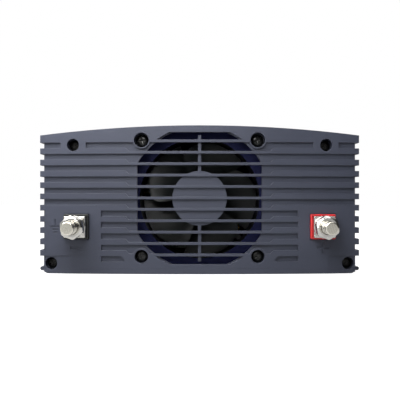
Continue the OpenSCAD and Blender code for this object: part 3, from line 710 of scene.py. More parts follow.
@dataclass(frozen=True)
class Outline:
    """A circle, or a regular polygon with rounded corners, seen along an axis.

    Attributes:
        apothem: the circle's radius, or the distance from the middle to a flat.
        sides: how many sides it has, or 0 for a circle.
        corner: the corners' radius.
        turn: the angle of one flat's middle, in degrees.
    """

    apothem: float
    sides: int = 0
    corner: float = 0.0
    turn: float = 0.0

    def radius(self, angle: float, inset: float = 0.0) -> float:
        """The outline's distance from the middle.

        Args:
            angle: the direction, in radians.
            inset: how far the outline is drawn in, in metres.

        Returns:
            The distance, in metres.
        """
        a = self.apothem - inset
        if self.sides == 0:
            return a
        half = math.pi / self.sides
        fold = abs((angle - math.radians(self.turn) + half) % (2 * half) - half)
        corner = max(self.corner - inset, 0.0)
        side = (a - corner) * math.tan(half)
        if a * math.tan(fold) <= side or corner == 0.0:
            return a / math.cos(fold)
        along = (a - corner) * math.cos(fold) + side * math.sin(fold)
        away = (a - corner) ** 2 + side**2 - corner**2
        return along + math.sqrt(max(along * along - away, 0.0))

    def angles(self) -> list[float]:
        """Where to sample the outline, more closely at its corners.

        Returns:
            Angles in radians, rising.
        """
        found = {math.tau * i / 96 for i in range(96)}
        half = math.pi / self.sides if self.sides else 0.0
        for n in range(self.sides):
            middle = math.radians(self.turn) + half * (2 * n + 1)
            found |= {(middle + math.radians(step)) % math.tau for step in (-3, -2, -1, 0, 1, 2, 3)}
        return sorted(found)


@dataclass(frozen=True)
class Ring:
    """A block, collar, washer or nut: one outline round another, with its edges rounded.

    Attributes:
        outer: the outside outline.
        inner: the hole's outline.
        front: the front face, as y in metres.
        back: the back face, as y in metres.
        edge: the radius of the outside edges.
        face: for a nut, the radius of the flat face inside the chamfer.
        support: how far inside an edge the row lies that keeps the face flat.
        chamfer_step: from row to row over a nut's chamfer.
        chamfer_slope: how fast a nut's chamfer widens.
        lip: the bevel of the hole's edges.
    """

    outer: Outline
    inner: Outline
    front: float
    back: float
    edge: float = 0.3 * MM
    face: float | None = None
    support: float = 0.06 * MM
    chamfer_step: float = 0.13 * MM
    chamfer_slope: float = 1.3
    lip: float = 0.2 * MM

    def _stations(self) -> list[tuple[float, float]]:
        """The outside's stations from front to back.

        Returns:
            Pairs of y and inset, in metres.
        """
        turn = [math.radians(90 * i / 4) for i in range(5)]
        rise = [(self.edge * (1 - math.cos(t)), self.edge * (1 - math.sin(t))) for t in turn]
        if self.face is not None:
            rise += [(self.edge + self.chamfer_step * n, 0.0) for n in range(1, 9)]
        rise.insert(0, (0.0, self.edge + self.support))
        ends = [(self.front + along, inset) for along, inset in rise]
        return ends + [(self.back - along, inset) for along, inset in reversed(rise)]

    def add(self, mesh: bmesh.types.BMesh, centre: Span) -> None:
        """Adds the ring to a shape.

        Args:
            mesh: the shape.
            centre: the axis, as x and z in metres.
        """
        angles = self.outer.angles()
        rows = []
        for y, inset in self._stations():
            radii = [self.outer.radius(a, inset) for a in angles]
            if self.face is not None:
                most = self.face + self.chamfer_slope * min(y - self.front, self.back - y)
                radii = [min(r, most) for r in radii]
            rows.append(circle(mesh, centre, y, radii, angles))
        inside = self.lip + 0.05 * MM
        hole = [(self.back, -inside), (self.back, -self.lip), (self.back - self.lip, 0.0)]
        hole += [(self.front + self.lip, 0.0), (self.front, -self.lip), (self.front, -inside)]
        for y, inset in hole:
            rows.append(circle(mesh, centre, y, [self.inner.radius(a, inset) for a in angles], angles))
        skin(mesh, [*rows, rows[0]], wrap=True)


@dataclass
class Stud:
    """A terminal stud along Y: a plain shank, a rolled thread and a plain lead with a rounded end.

    Attributes:
        name: the piece's name.
        node: the CAD node that it stands for.
        centre: the stud's axis, as x and z in metres.
        root: where the shank starts, as y in metres.
        tip: the stud's end, as y in metres.
        radius: the thread's outer radius.
        shank: the plain shank's radius.
        thread_from: where the thread starts, as y in metres.
        lead: how long the plain end is.
        pitch: the thread's pitch.
        shoulder: the radius of the rounded end.
        head: the radius and height of a head at the root, or zeros for none.
        around: how many steps go round it.
        relief: how much thinner the plain end is than the thread.
        depth: the thread's depth, in pitches.
        flat_end: where the row lies that keeps the end flat, as a share of its radius.
    """

    name: str
    node: str
    centre: Span
    root: float
    tip: float
    radius: float
    shank: float
    thread_from: float
    lead: float
    pitch: float
    shoulder: float
    head: Span = (0.0, 0.0)
    around: int = 64
    relief: float = 0.05 * MM
    depth: float = 0.52
    flat_end: float = 0.96

    def _radius_at(self, along: float, turn: float) -> float:
        """The surface's radius at a place on the stud.

        Args:
            along: distance from the root, in metres.
            turn: the angle round the stud, in turns.

        Returns:
            The radius, in metres.
        """
        start = abs(self.thread_from - self.root)
        length = abs(self.tip - self.root)
        past = length - along
        plain = self.radius - self.relief
        if along <= self.head[1]:
            return self.head[0]
        if along < start:
            return self.shank
        if past < self.shoulder:
            return plain - self.shoulder + math.sqrt(self.shoulder**2 - (self.shoulder - past) ** 2)
        crest = 1.0 - abs(2.0 * ((along / self.pitch - turn) % 1.0) - 1.0)
        shape = min(max((crest - 0.12) / 0.7, 0.0), 1.0)
        fade = min((along - start) / self.pitch, max((past - self.lead) / self.pitch, 0.0), 1.0)
        return plain - self.depth * self.pitch * fade * (1.0 - shape)

    def build(self) -> bpy.types.Object:
        """Makes the stud.

        Returns:
            The new piece, standing for its CAD node.
        """
        mesh = bmesh.new()
        way = math.copysign(1.0, self.tip - self.root)
        length = abs(self.tip - self.root)
        start = abs(self.thread_from - self.root)
        stations = [0.0, self.head[1], self.head[1] + 0.01 * MM, start - 0.01 * MM]
        steps = math.ceil((length - self.shoulder - start) / (self.pitch / 10))
        stations += [start + (length - self.shoulder - start) * i / steps for i in range(steps + 1)]
        stations += [length - self.shoulder * (1 - math.sin(math.radians(18 * i))) for i in range(1, 6)]
        rows = []
        for along in stations:
            radii = [self._radius_at(along, i / self.around) for i in range(self.around)]
            rows.append(circle(mesh, self.centre, self.root + way * along, radii, round_angles(self.around)))
        rows.append(
            circle(mesh, self.centre, self.tip, [r * self.flat_end for r in radii], round_angles(self.around))
        )
        tube(mesh, rows)
        piece = new_object(self.name, mesh, STUD_PLATE, 50.0)
        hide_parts(self.node)
        return piece


@dataclass(frozen=True)
class PanHead:
    """A pan-head screw with a cross recess; its head faces -Y and its seat is at the origin.

    Attributes:
        head_r: the head's radius.
        head_t: the head's height.
        shank_r: the thread's outer radius.
        length: the shank's length.
        pitch: the thread's pitch.
        thread_depth: the thread's depth.
        around: how many steps go round it.
        rings: how many rings of faces the head's front has.
    """

    head_r: float
    head_t: float
    shank_r: float
    length: float
    pitch: float = 0.7 * MM
    thread_depth: float = 0.35 * MM
    around: int = 96
    rings: int = 34

    def _face_y(self, x: float, z: float) -> float:
        """The head's front surface: a low dome with a tapered cross sunk in it.

        Args:
            x: across the head, in metres.
            z: up the head, in metres.

        Returns:
            The surface's y, in metres.
        """
        r = math.hypot(x, z) / self.head_r
        dome = -self.head_t + self.head_t * 0.45 * max(r, 0.0) ** 4
        reach, half = 0.56 * self.head_r, 0.115 * self.head_r
        arm = max(
            min((reach - abs(x)) / 0.2, (half - abs(z)) / 0.12) if abs(x) > abs(z) else -1.0,
            min((reach - abs(z)) / 0.2, (half - abs(x)) / 0.12) if abs(z) >= abs(x) else -1.0,
        )
        sunk = min(max(arm / MM + 0.5, 0.0), 1.0)
        return dome + 0.62 * self.head_t * sunk * (1.0 - 0.45 * r)

    def mesh(self, name: str, turn_deg: float) -> bpy.types.Mesh:
        """Makes the screw's mesh.

        Args:
            name: the mesh's name.
            turn_deg: how far the recess is turned about the axis.

        Returns:
            The mesh.
        """
        build = bmesh.new()
        angles = round_angles(self.around)
        cos, sin = math.cos(math.radians(turn_deg)), math.sin(math.radians(turn_deg))
        rows = []
        for i in range(1, self.rings + 1):
            r = self.head_r * (i / self.rings)
            row = []
            for x, z in ((r * math.cos(a), r * math.sin(a)) for a in angles):
                row.append(build.verts.new((x, self._face_y(x * cos + z * sin, z * cos - x * sin), z)))
            rows.append(row)
        tip = build.verts.new((0.0, self._face_y(0.0, 0.0), 0.0))
        steps = math.ceil(self.length / self.pitch) * 4
        profile = [(self.head_r, -0.15 * self.head_t), (self.head_r - 0.1 * MM, 0.0), (self.shank_r, 0.0)]
        for n in range(1, steps):
            root = self.thread_depth if n % 4 == 2 else 0.0
            profile.append((self.shank_r - root, self.length * n / steps))
        profile.append((self.shank_r - 0.4 * MM, self.length))
        rows += [circle(build, (0.0, 0.0), y, [r] * self.around, angles) for r, y in profile]
        skin(build, rows, wrap=True)
        spokes(build, tip, rows[0])
        build.faces.new(rows[-1])
        return as_mesh(name, build)


def as_mesh(name: str, build: bmesh.types.BMesh) -> bpy.types.Mesh:
    """Turns a bmesh into a mesh for copying, its faces outward.

    Args:
        name: the mesh's name.
        build: the shape; it is freed.

    Returns:
        The mesh.
    """
    bmesh.ops.recalc_face_normals(build, faces=build.faces)
    mesh = bpy.data.meshes.new(name)
    build.to_mesh(mesh)
    build.free()
    return mesh


def rounded_box(half_w: float, half_h: float, corner: float, steps: int = 3) -> list[Span]:
    """The points of a rectangle with rounded corners.

    Args:
        half_w: half its width.
        half_h: half its height.
        corner: the corners' radius.
        steps: how many steps a corner takes.

    Returns:
        The points, going round once.
    """
    points = []
    for quarter, (across, up) in enumerate(((1, 1), (-1, 1), (-1, -1), (1, -1))):
        for step in range(steps + 1):
            a = math.radians(90 * (quarter + step / steps))
            x = across * (half_w - corner) + corner * math.cos(a)
            points.append((x, up * (half_h - corner) + corner * math.sin(a)))
    return points


@dataclass
class WireTurn:
    """One turn of round wire about a ring core whose axis is along Y.

    Attributes:
        near: from the core's axis to the wire inside the ring.
        far: from the core's axis to the wire outside it.
        half: half the turn's length along the axis.
        bend: the radius of the turn's corners.
        wire: the wire's radius.
        steps: how many steps a corner takes.
        sides: how many sides the wire has.
    """

    near: float = 8.5 * MM
    far: float = 20.0 * MM
    half: float = 9.85 * MM
    bend: float = 1.4 * MM
    wire: float = 0.72 * MM
    steps: int = 6
    sides: int = 12

    def mesh(self, name: str) -> bpy.types.Mesh:
        """Makes the turn's mesh.

        Args:
            name: the mesh's name.

        Returns:
            The mesh.
        """
        build = bmesh.new()
        rows = []
        right, left, end = self.far - self.bend, self.near + self.bend, self.half - self.bend
        for quarter, (x, y) in enumerate(((right, end), (left, end), (left, -end), (right, -end))):
            for step in range(self.steps + 1):
                a = math.radians(90 * (quarter + step / self.steps))
                out = Vector((math.cos(a), math.sin(a), 0.0))
                row = []
                for t in round_angles(self.sides):
                    place = Vector((x, y, self.wire * math.sin(t)))
                    row.append(build.verts.new(place + out * (self.bend + self.wire * math.cos(t))))
                rows.append(row)
        skin(build, [*rows, rows[0]], wrap=True)
        return as_mesh(name, build)


@dataclass
class Package:
    """A moulded power transistor; its front faces -X and the middle of its foot is at the origin.

    Attributes:
        thick: its thickness.
        width: its width.
        height: its height without the legs.
        hole_r: the radius of the dimple in its front.
        drop: how far the legs reach down.
        pitch: from leg to leg.
        set_back: how far behind the body's middle the legs come out.
    """

    thick: float = 5.0 * MM
    width: float = 16.0 * MM
    height: float = 21.0 * MM
    hole_r: float = 1.8 * MM
    drop: float = 12.3 * MM
    pitch: float = 5.45 * MM
    set_back: float = 0.9 * MM

    def body(self, name: str) -> bpy.types.Mesh:
        """Makes the moulded body, drafted to both sides of its seam.

        Args:
            name: the mesh's name.

        Returns:
            The mesh.
        """
        build = bmesh.new()
        front, back, seam = -self.thick / 2, self.thick / 2, 0.5 * MM
        stations = (
            (front, 0.55 * MM), (front + 0.08 * MM, 0.36 * MM), (front + 0.25 * MM, 0.28 * MM),
            (seam, 0.0), (back - 0.2 * MM, 0.1 * MM), (back, 0.3 * MM),
        )
        rows = []
        for x, inset in stations:
            outline = rounded_box(self.width / 2 - inset, self.height / 2 - inset, 0.5 * MM)
            rows.append([build.verts.new((x, y, self.height / 2 + z)) for y, z in outline])
        eye = Vector((0.0, 0.0, 0.7 * self.height))
        for deep, wider in ((0.0, 0.15 * MM), (0.15 * MM, 0.0), (1.0 * MM, -0.1 * MM)):
            place = Vector((front + deep, 0.0, 0.0)) + eye
            ways = [(Vector((0.0, vert.co.y, vert.co.z)) - eye).normalized() for vert in rows[0]]
            rows.insert(0, [build.verts.new(place + way * (self.hole_r + wider)) for way in ways])
        tube(build, rows)
        return as_mesh(name, build)

    def legs(self, name: str) -> bpy.types.Mesh:
        """Makes the three legs, broad by the body and narrow below.

        Args:
            name: the mesh's name.

        Returns:
            The mesh.
        """
        build = bmesh.new()
        wide, narrow = 1.0 * MM, 0.62 * MM
        stations = (
            (0.0, wide), (-3.2 * MM, wide), (-4.0 * MM, narrow), (0.3 * MM - self.drop, narrow),
            (-self.drop, 0.7 * narrow),
        )
        for place in (-self.pitch, 0.0, self.pitch):
            rows = []
            for z, half in stations:
                outline = rounded_box(half, 0.3 * MM, 0.12 * MM)
                rows.append([build.verts.new((self.set_back + x, place + y, z)) for y, x in outline])
            tube(build, rows)
        return as_mesh(name, build)


@dataclass
class Can:
    """An electrolytic capacitor standing at the origin: a sleeve shrunk round a crimped can.

    Attributes:
        radius: the sleeve's radius.
        height: its height.
        around: how many steps go round it.
    """

    radius: float
    height: float
    around: int = 72

    def _row(self, build: bmesh.types.BMesh, r: float, z: float) -> list[bmesh.types.BMVert]:
        """Adds a level circle of vertices.

        Args:
            build: the shape.
            r: the circle's radius.
            z: its height.

        Returns:
            The vertices.
        """
        return [build.verts.new((r * math.cos(a), r * math.sin(a), z)) for a in round_angles(self.around)]

    def sleeve(self, name: str) -> bpy.types.Mesh:
        """Makes the sleeve, with the crimp near its foot and the lip round its top.

        Args:
            name: the mesh's name.

        Returns:
            The mesh.
        """
        build = bmesh.new()
        foot = (
            (1.2, 0.0), (0.3, 0.0), (0.06, 0.3), (0.0, 0.8), (0.0, 3.0), (0.5, 3.9), (0.85, 4.6), (0.5, 5.3),
            (0.0, 6.2),
        )
        top = (
            (0.0, 1.6), (0.1, 0.9), (0.4, 0.3), (0.9, 0.05), (1.4, 0.0), (2.0, 0.0), (2.2, 0.15), (2.2, 0.9),
        )
        profile = [(self.radius - inset * MM, z * MM) for inset, z in foot]
        profile += [(self.radius - inset * MM, self.height - drop * MM) for inset, drop in top]
        tube(build, [self._row(build, r, z) for r, z in profile])
        return as_mesh(name, build)

    def vent(self, name: str) -> bpy.types.Mesh:
        """Makes the bare top of the can, with the cross scored in it.

        Args:
            name: the mesh's name.

        Returns:
            The mesh.
        """
        build = bmesh.new()
        edge, rings = self.radius - 2.25 * MM, 24
        level, under, score_half, score_depth = 0.4 * MM, 0.8 * MM, 0.45 * MM, 0.22 * MM
        rows = [self._row(build, edge * n / rings, self.height - level) for n in range(1, rings + 1)]
        centre = build.verts.new((0.0, 0.0, self.height - level))
        for vert in (centre, *(v for row in rows for v in row)):
            off = min(abs(vert.co.x), abs(vert.co.y)) / score_half
            if math.hypot(vert.co.x, vert.co.y) < 0.72 * edge and off < 1.0:
                vert.co.z -= score_depth * (1.0 - off)
        rows.append(self._row(build, edge, self.height - under))
        skin(build, rows, wrap=True)
        spokes(build, centre, rows[0])
        build.faces.new(rows[-1])
        return as_mesh(name, build)


def copies_on_points() -> bpy.types.GeometryNodeTree:
    """Geometry nodes that put a copy of one object on every point, turned by the point's own turn.

    Returns:
        The node group.
    """
    name = "copies_on_points"
    if name in bpy.data.node_groups:
        return bpy.data.node_groups[name]
    tree = bpy.data.node_groups.new(name, "GeometryNodeTree")
    tree.interface.new_socket("Points", in_out="INPUT", socket_type="NodeSocketGeometry")
    tree.interface.new_socket("Copied", in_out="INPUT", socket_type="NodeSocketObject")
    tree.interface.new_socket("Finish", in_out="INPUT", socket_type="NodeSocketMaterial")
    tree.interface.new_socket("Copies", in_out="OUTPUT", socket_type="NodeSocketGeometry")
    g = Graph(tree)
    start, end = tree.nodes.new("NodeGroupInput"), tree.nodes.new("NodeGroupOutput")
    points = g.add("GeometryNodeMeshToPoints", Mesh=start.outputs["Points"])
    source = g.add("GeometryNodeObjectInfo", Object=start.outputs["Copied"])
    turn = g.add("GeometryNodeInputNamedAttribute", {"data_type": "FLOAT_VECTOR"}, Name="turn")
    spread = g.add(
        "GeometryNodeInstanceOnPoints", Points=points.outputs[0], Instance=source.outputs["Geometry"]
    )
    g.feed(spread, "Rotation", turn.outputs["Attribute"])
    solid = g.add("GeometryNodeRealizeInstances", Geometry=spread.outputs[0])
    dressed = g.add("GeometryNodeSetMaterial", Geometry=solid.outputs[0], Material=start.outputs["Finish"])
    g.feed(end, "Copies", dressed.outputs[0])
    return tree


def scatter(
    name: str, mesh: bpy.types.Mesh, places: Sequence[Point], turns: Sequence[Point], finish: Finish
) -> bpy.types.Object:
    """Copies a mesh to several places with geometry nodes and keeps the result as a plain mesh.

    Args:
        name: the piece's name.
        mesh: what is copied.
        places: where each copy goes, in metres.
        turns: each copy's turn about the axes, in radians.
        finish: the finish to dress the copies in.

    Returns:
        The new piece, linked to the scene.
    """
    pattern = bpy.data.objects.new(f"{name}_pattern", mesh)
    cloud = bpy.data.meshes.new(f"{name}_points")
    cloud.from_pydata(list(places), [], [])
    turn = cloud.attributes.new("turn", "FLOAT_VECTOR", "POINT")
    turn.data.foreach_set("vector", [value for triple in turns for value in triple])
    base = bpy.data.objects.new(f"{name}_base", cloud)
    for helper in (pattern, base):
        bpy.context.scene.collection.objects.link(helper)
    tree = copies_on_points()
    modifier = base.modifiers.new("copies", "NODES")
    modifier.node_group = tree
    sockets = {item.name: item.identifier for item in tree.interface.items_tree if item.in_out == "INPUT"}
    modifier[sockets["Copied"]] = pattern
    modifier[sockets["Finish"]] = finish.material()
    bpy.context.view_layer.update()
    solid = bpy.data.meshes.new_from_object(base.evaluated_get(bpy.context.evaluated_depsgraph_get()))
    solid.name = name
    for helper in (base, pattern):
        bpy.data.objects.remove(helper)
    for polygon in solid.polygons:
        polygon.use_smooth = True
    solid.set_sharp_from_angle(angle=math.radians(38.0))
    piece = bpy.data.objects.new(name, solid)
    bpy.context.scene.collection.objects.link(piece)
    return piece


@dataclass
class Impeller:
    """The fan's hub and its broad, swept blades.

    Attributes:
        axis: the fan's axis, as x and z in metres.
        front: the fan frame's front face, as y in metres.
        blades: how many blades there are.
        hub_r: the hub's radius.
        tip_r: the blades' outer radius.
        rings: how many points a blade has from hub to tip.
        steps: how many it has along its chord.
        near_deg: where the first blade's near edge leaves the hub.
        far_deg: where its far edge lies.
        sweep_deg: how far the near edge curves back at the tip.
        sweep_from: the radius where that curve starts, in millimetres.
        near_depth: the near edge's depth behind the frame's front, in millimetres.
        drop: how much deeper the far edge lies, in millimetres.
        bulge: how far a blade's middle bows backwards, in millimetres.
    """

    axis: Span
    front: float
    blades: int = 5
    hub_r: float = 17.3 * MM
    tip_r: float = 37.0 * MM
    rings: int = 26
    steps: int = 26
    near_deg: float = 31.0
    far_deg: float = 106.0
    sweep_deg: float = 32.0
    sweep_from: float = 22.0
    near_depth: float = 2.9
    drop: float = 15.5
    bulge: float = 1.4

    def _blade_point(self, i: int, j: int, side: int, turn: float) -> Point:
        """A point on a blade's surface.

        Args:
            i: ring number, from hub to tip.
            j: step number, from leading to trailing edge.
            side: -1 for the front skin and 1 for the back.
            turn: the blade's place round the hub, in degrees.

        Returns:
            The point, in metres.
        """
        u = j / (self.steps - 1)
        hub, tip = self.hub_r / MM, self.tip_r / MM
        r = hub - 0.6 + (tip - hub + 0.6) * (i / (self.rings - 1)) ** 0.8
        swept = max(r - self.sweep_from, 0) / (tip - self.sweep_from)
        near = self.near_deg + self.sweep_deg * swept**3.2
        angle = near + (self.far_deg - near) * u
        along = (angle - self.near_deg) / (self.far_deg - self.near_deg)
        depth = self.near_depth + self.drop * along + self.bulge * math.sin(math.pi * along)
        half = 0.3 + 0.6 * math.sin(math.pi * u**0.7)
        half *= math.sin(math.pi * min(0.5, 0.08 + u * 4)) * math.sin(math.pi * min(0.5, 0.08 + (1 - u) * 4))
        return (
            self.axis[0] + r * MM * math.cos(math.radians(angle + turn)),
            self.front + (depth + side * half) * MM,
            self.axis[1] - r * MM * math.sin(math.radians(angle + turn)),
        )

    def _blade(self, mesh: bmesh.types.BMesh, turn: float) -> None:
        """Adds one blade.

        Args:
            mesh: the shape to add to.
            turn: the blade's place round the hub, in degrees.
        """
        rows = []
        for i in range(self.rings):
            front = [self._blade_point(i, j, -1, turn) for j in range(self.steps)]
            back = [self._blade_point(i, j, 1, turn) for j in reversed(range(self.steps))]
            rows.append([mesh.verts.new(p) for p in front + back])
        skin(mesh, rows, wrap=True)
        for row in (rows[0], rows[-1]):
            for j in range(self.steps - 1):
                mesh.faces.new((row[j], row[j + 1], row[-2 - j], row[-1 - j]))

    def _hub(self, mesh: bmesh.types.BMesh) -> None:
        """Adds the cup-shaped hub with a rounded rim and a shallow ring on its face.

        Args:
            mesh: the shape to add to.
        """
        profile = [
            (0.0, 1.9), (11.2, 1.9), (11.6, 1.6), (15.6, 1.6), (16.4, 1.8), (17.0, 2.4), (17.3, 3.3),
            (17.3, 20.8), (17.0, 21.0), (15.9, 21.0), (15.8, 20.9), (15.8, 3.5), (0.0, 3.5),
        ]
        angles = round_angles(72)
        front, *middle, back = [(r * MM, self.front + depth * MM) for r, depth in profile]
        rows = [circle(mesh, self.axis, y, [r] * len(angles), angles) for r, y in middle]
        skin(mesh, rows, wrap=True)
        for (_, y), row in ((front, rows[0]), (back, rows[-1])):
            spokes(mesh, mesh.verts.new((self.axis[0], y, self.axis[1])), row)

    def build(self) -> bpy.types.Object:
        """Makes the impeller.

        Returns:
            The new piece, standing for its CAD node.
        """
        mesh = bmesh.new()
        self._hub(mesh)
        for n in range(self.blades):
            self._blade(mesh, n * 360 / self.blades)
        piece = new_object("impeller", mesh, FAN_PLASTIC, 40.0)
        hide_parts("fan_impeller")
        return piece


# ---------- The inverter ----------


@dataclass
class Inverter:
    """The whole object: dresses the CAD nodes and adds the detailed pieces."""

    made: list[bpy.types.Object] = field(default_factory=list)

    def dress(self) -> None:
        """Gives every CAD node the finish of its material slot, but the fan frame the fan's plastic."""
        slots = {part["node"]: part["material_slot"] for part in frame["record"]["subparts"]}
        for name, piece in frame["nodes"].items():
            finish = FINISHES[slots[name]]
            if name == "fan_frame":
                finish = FAN_PLASTIC
            material = finish.material()
            piece.data.materials.clear()
            piece.data.materials.append(material)
            LOG.info("dressed %s in %s", name, material.name)

    def build(self) -> None:
        """Makes the detailed pieces and puts each on its body."""
        for side in ("negative", "positive"):
            self._terminal(side)
        self._fasteners()
        self._screws()
        self._earth_terminal()
        self._chokes()
        self._transistors()
        self._capacitors("input_capacitors", 9.0 * MM, 4, 2)
        self._capacitors("link_capacitors", 15.0 * MM, 2, 1)
        low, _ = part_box("fan_frame")
        hub_low, hub_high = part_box("rotor_yoke")
        axis = ((hub_low[0] + hub_high[0]) / 2, (hub_low[2] + hub_high[2]) / 2)
        self._add(Impeller(axis, low[1]).build(), "fan_rotor")

    def _terminal(self, side: str) -> None:
        """Makes one battery terminal's stud, block and collar.

        Args:
            side: negative or positive.
        """
        low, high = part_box(f"{side}_stud")
        nut_low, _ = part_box("terminal_nuts")
        centre = ((low[0] + high[0]) / 2, (low[2] + high[2]) / 2)
        stud = Stud(
            f"{side}_stud_threaded", f"{side}_stud", centre, high[1], low[1], 4.0 * MM, 3.35 * MM,
            nut_low[1] - 0.3 * MM, 5.5 * MM, 1.25 * MM, 0.75 * MM,
        )
        self._add(stud.build(), "case")
        low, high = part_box(f"{side}_block")
        block = Ring(
            Outline((high[0] - low[0]) / 2, 4, 0.6 * MM), Outline(3.4 * MM), low[1], high[1], 0.45 * MM
        )
        self._rings(f"{side}_block_eased", f"{side}_block", TIN_PLATE, [(block, centre)])
        low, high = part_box(f"{side}_insulator")
        hole = Outline(COLLAR_HOLE_HALF, 4, 0.3 * MM)
        flange = high[1] - COLLAR_FLANGE
        collar = Ring(Outline(COLLAR_HALF, 4, 0.9 * MM), hole, low[1], flange, 0.5 * MM)
        foot = Ring(Outline((high[0] - low[0]) / 2, 4, 0.9 * MM), hole, flange, high[1], 0.4 * MM)
        finish, slot = COLLAR_PLASTIC, "black_plastic"
        if side == "positive":
            finish, slot = RED_PLASTIC, "red_plastic"
        self._rings(f"{side}_collar", f"{side}_insulator", finish, [(collar, centre), (foot, centre)])

    def _fasteners(self) -> None:
        """Makes the terminal nuts and the flat washers."""
        low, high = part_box("terminal_nuts")
        spots = [(x, (low[2] + high[2]) / 2) for x in self._pair("negative_stud", "positive_stud")]
        nut = Ring(
            Outline(6.5 * MM, 6, 1.7 * MM, 8.0), Outline(4.05 * MM), low[1], high[1], 0.12 * MM, 5.65 * MM
        )
        self._rings("hex_nuts", "terminal_nuts", TIN_PLATE, [(nut, at) for at in spots])
        low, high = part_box("terminal_washers")
        washer = Ring(Outline(6.9 * MM), Outline(4.2 * MM), low[1], high[1], 0.3 * MM)
        rings = [(washer, at) for at in spots]
        self._rings("flat_washers", "terminal_washers", TIN_PLATE, rings)

    def _screws(self) -> None:
        """Makes the four fan screws and the eight bezel screws."""
        head = PanHead(3.85 * MM, 2.6 * MM, 2.0 * MM, 14.0 * MM)
        low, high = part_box("fan_screws")
        reach = head.head_r
        lower = low[1] + head.head_t
        places = [
            (x, lower + (UPPER_SEAT_DEPTH if z > MIDDLE_HEIGHT else 0.0), z)
            for x in (low[0] + reach, high[0] - reach)
            for z in (low[2] + reach, high[2] - reach)
        ]
        pattern = head.mesh("fan_pan_screw", 12.0)
        piece = scatter("fan_pan_screws", pattern, places, [LEVEL] * len(places), BLACK_STEEL)
        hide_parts("fan_screws")
        self._add(piece, "case")
        head = PanHead(3.4 * MM, 2.4 * MM, 1.65 * MM, 15.5 * MM)
        low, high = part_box("bezel_screws")
        places, turns = [], []
        for y, turn in ((low[1] + head.head_t, 0.0), (high[1] - head.head_t, math.pi)):
            for x, z in CORNER_SCREWS:
                places += [(x, y, z), (-x, y, z)]
                turns += [(0.0, 0.0, turn)] * 2
        piece = scatter("end_pan_screws", head.mesh("end_pan_screw", 25.0), places, turns, BLACK_OXIDE)
        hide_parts("bezel_screws")
        self._add(piece, "case")

    def _chokes(self) -> None:
        """Winds the two chokes: twelve pairs of turns round each ring."""
        low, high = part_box("choke_windings")
        y, z = (low[1] + high[1]) / 2, (low[2] + high[2]) / 2
        places, turns = [], []
        for x in (low[0] + CHOKE_REACH, high[0] - CHOKE_REACH):
            for pair in range(CHOKE_PAIRS):
                for spread in (-PAIR_SPREAD, PAIR_SPREAD):
                    places.append((x, y, z))
                    turns.append((0.0, math.radians(360 / CHOKE_PAIRS * (pair + 0.5) + spread), 0.0))
        piece = scatter("choke_turns", WireTurn().mesh("choke_turn"), places, turns, COPPER)
        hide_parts("choke_windings")
        self._add(piece, "case")

    def _transistors(self) -> None:
        """Makes the two rows of eight power transistors and their legs."""
        low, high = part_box("power_transistors")
        package = Package()
        places, turns = [], []
        for x, turn in ((high[0] - package.thick / 2, 0.0), (low[0] + package.thick / 2, math.pi)):
            for n in range(TRANSISTORS):
                places.append((x, low[1] + package.width / 2 + TRANSISTOR_PITCH * n, low[2]))
                turns.append((0.0, 0.0, turn))
        body = scatter("transistor_bodies", package.body("transistor_body"), places, turns, EPOXY)
        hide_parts("power_transistors")
        self._add(body, "case")
        legs = scatter("transistor_legs", package.legs("transistor_leg"), places, turns, ZINC_STEEL)
        self._add(legs, "case")

    def _capacitors(self, node: str, radius: float, across: int, along: int) -> None:
        """Makes a grid of upright capacitors, each a sleeve and a bare top.

        Args:
            node: the CAD node that they stand for.
            radius: their radius.
            across: how many stand side by side.
            along: how many rows there are.
        """
        low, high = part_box(node)
        can = Can(radius, high[2] - low[2])
        places = []
        for i in range(across):
            for j in range(along):
                x = low[0] + radius + (high[0] - low[0] - 2 * radius) * i / max(across - 1, 1)
                y = low[1] + radius + (high[1] - low[1] - 2 * radius) * j / max(along - 1, 1)
                places.append((x, y, low[2]))
        level = [LEVEL] * len(places)
        sleeves = scatter(f"{node}_sleeved", can.sleeve(f"{node}_sleeve"), places, level, SLEEVE)
        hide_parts(node)
        self._add(sleeves, "case")
        vents = scatter(f"{node}_vents", can.vent(f"{node}_vent"), places, level, ZINC_STEEL)
        self._add(vents, "case")

    def _pair(self, first: str, second: str) -> tuple[float, float]:
        """The middles of two nodes across the object.

        Args:
            first: one node's name.
            second: the other's.

        Returns:
            Each node's middle x, in metres.
        """
        boxes = (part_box(first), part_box(second))
        return tuple((low[0] + high[0]) / 2 for low, high in boxes)

    def _rings(
        self, name: str, node: str, finish: Finish, rings: Sequence[tuple[Ring, Span]]
    ) -> None:
        """Makes a piece of one or more rings.

        Args:
            name: the piece's name.
            node: the CAD node that it stands for.
            finish: the finish to dress it in.
            rings: each ring and its axis.
        """
        mesh = bmesh.new()
        for ring, centre in rings:
            ring.add(mesh, centre)
        piece = new_object(name, mesh, finish, 32.0)
        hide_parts(node)
        self._add(piece, "case")

    def _earth_terminal(self) -> None:
        """Makes the rear earth stud."""
        low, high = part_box("earth_stud")
        centre = ((low[0] + high[0]) / 2, (low[2] + high[2]) / 2)
        stud = Stud(
            "earth_stud_threaded", "earth_stud", centre, low[1], high[1], 2.5 * MM, 2.05 * MM,
            high[1] - 6.1 * MM, 0.8 * MM, 0.8 * MM, 0.5 * MM, (5.0 * MM, 2.5 * MM),
        )
        self._add(stud.build(), "case")

    def _add(self, piece: bpy.types.Object, body: str) -> None:
        """Puts a piece on its body.

        Args:
            piece: the new piece.
            body: the body that it moves with.
        """
        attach(piece, body)
        self.made.append(piece)
        LOG.info("made %s on %s, %d faces", piece.name, body, len(piece.data.polygons))


# ---------- Studio ----------


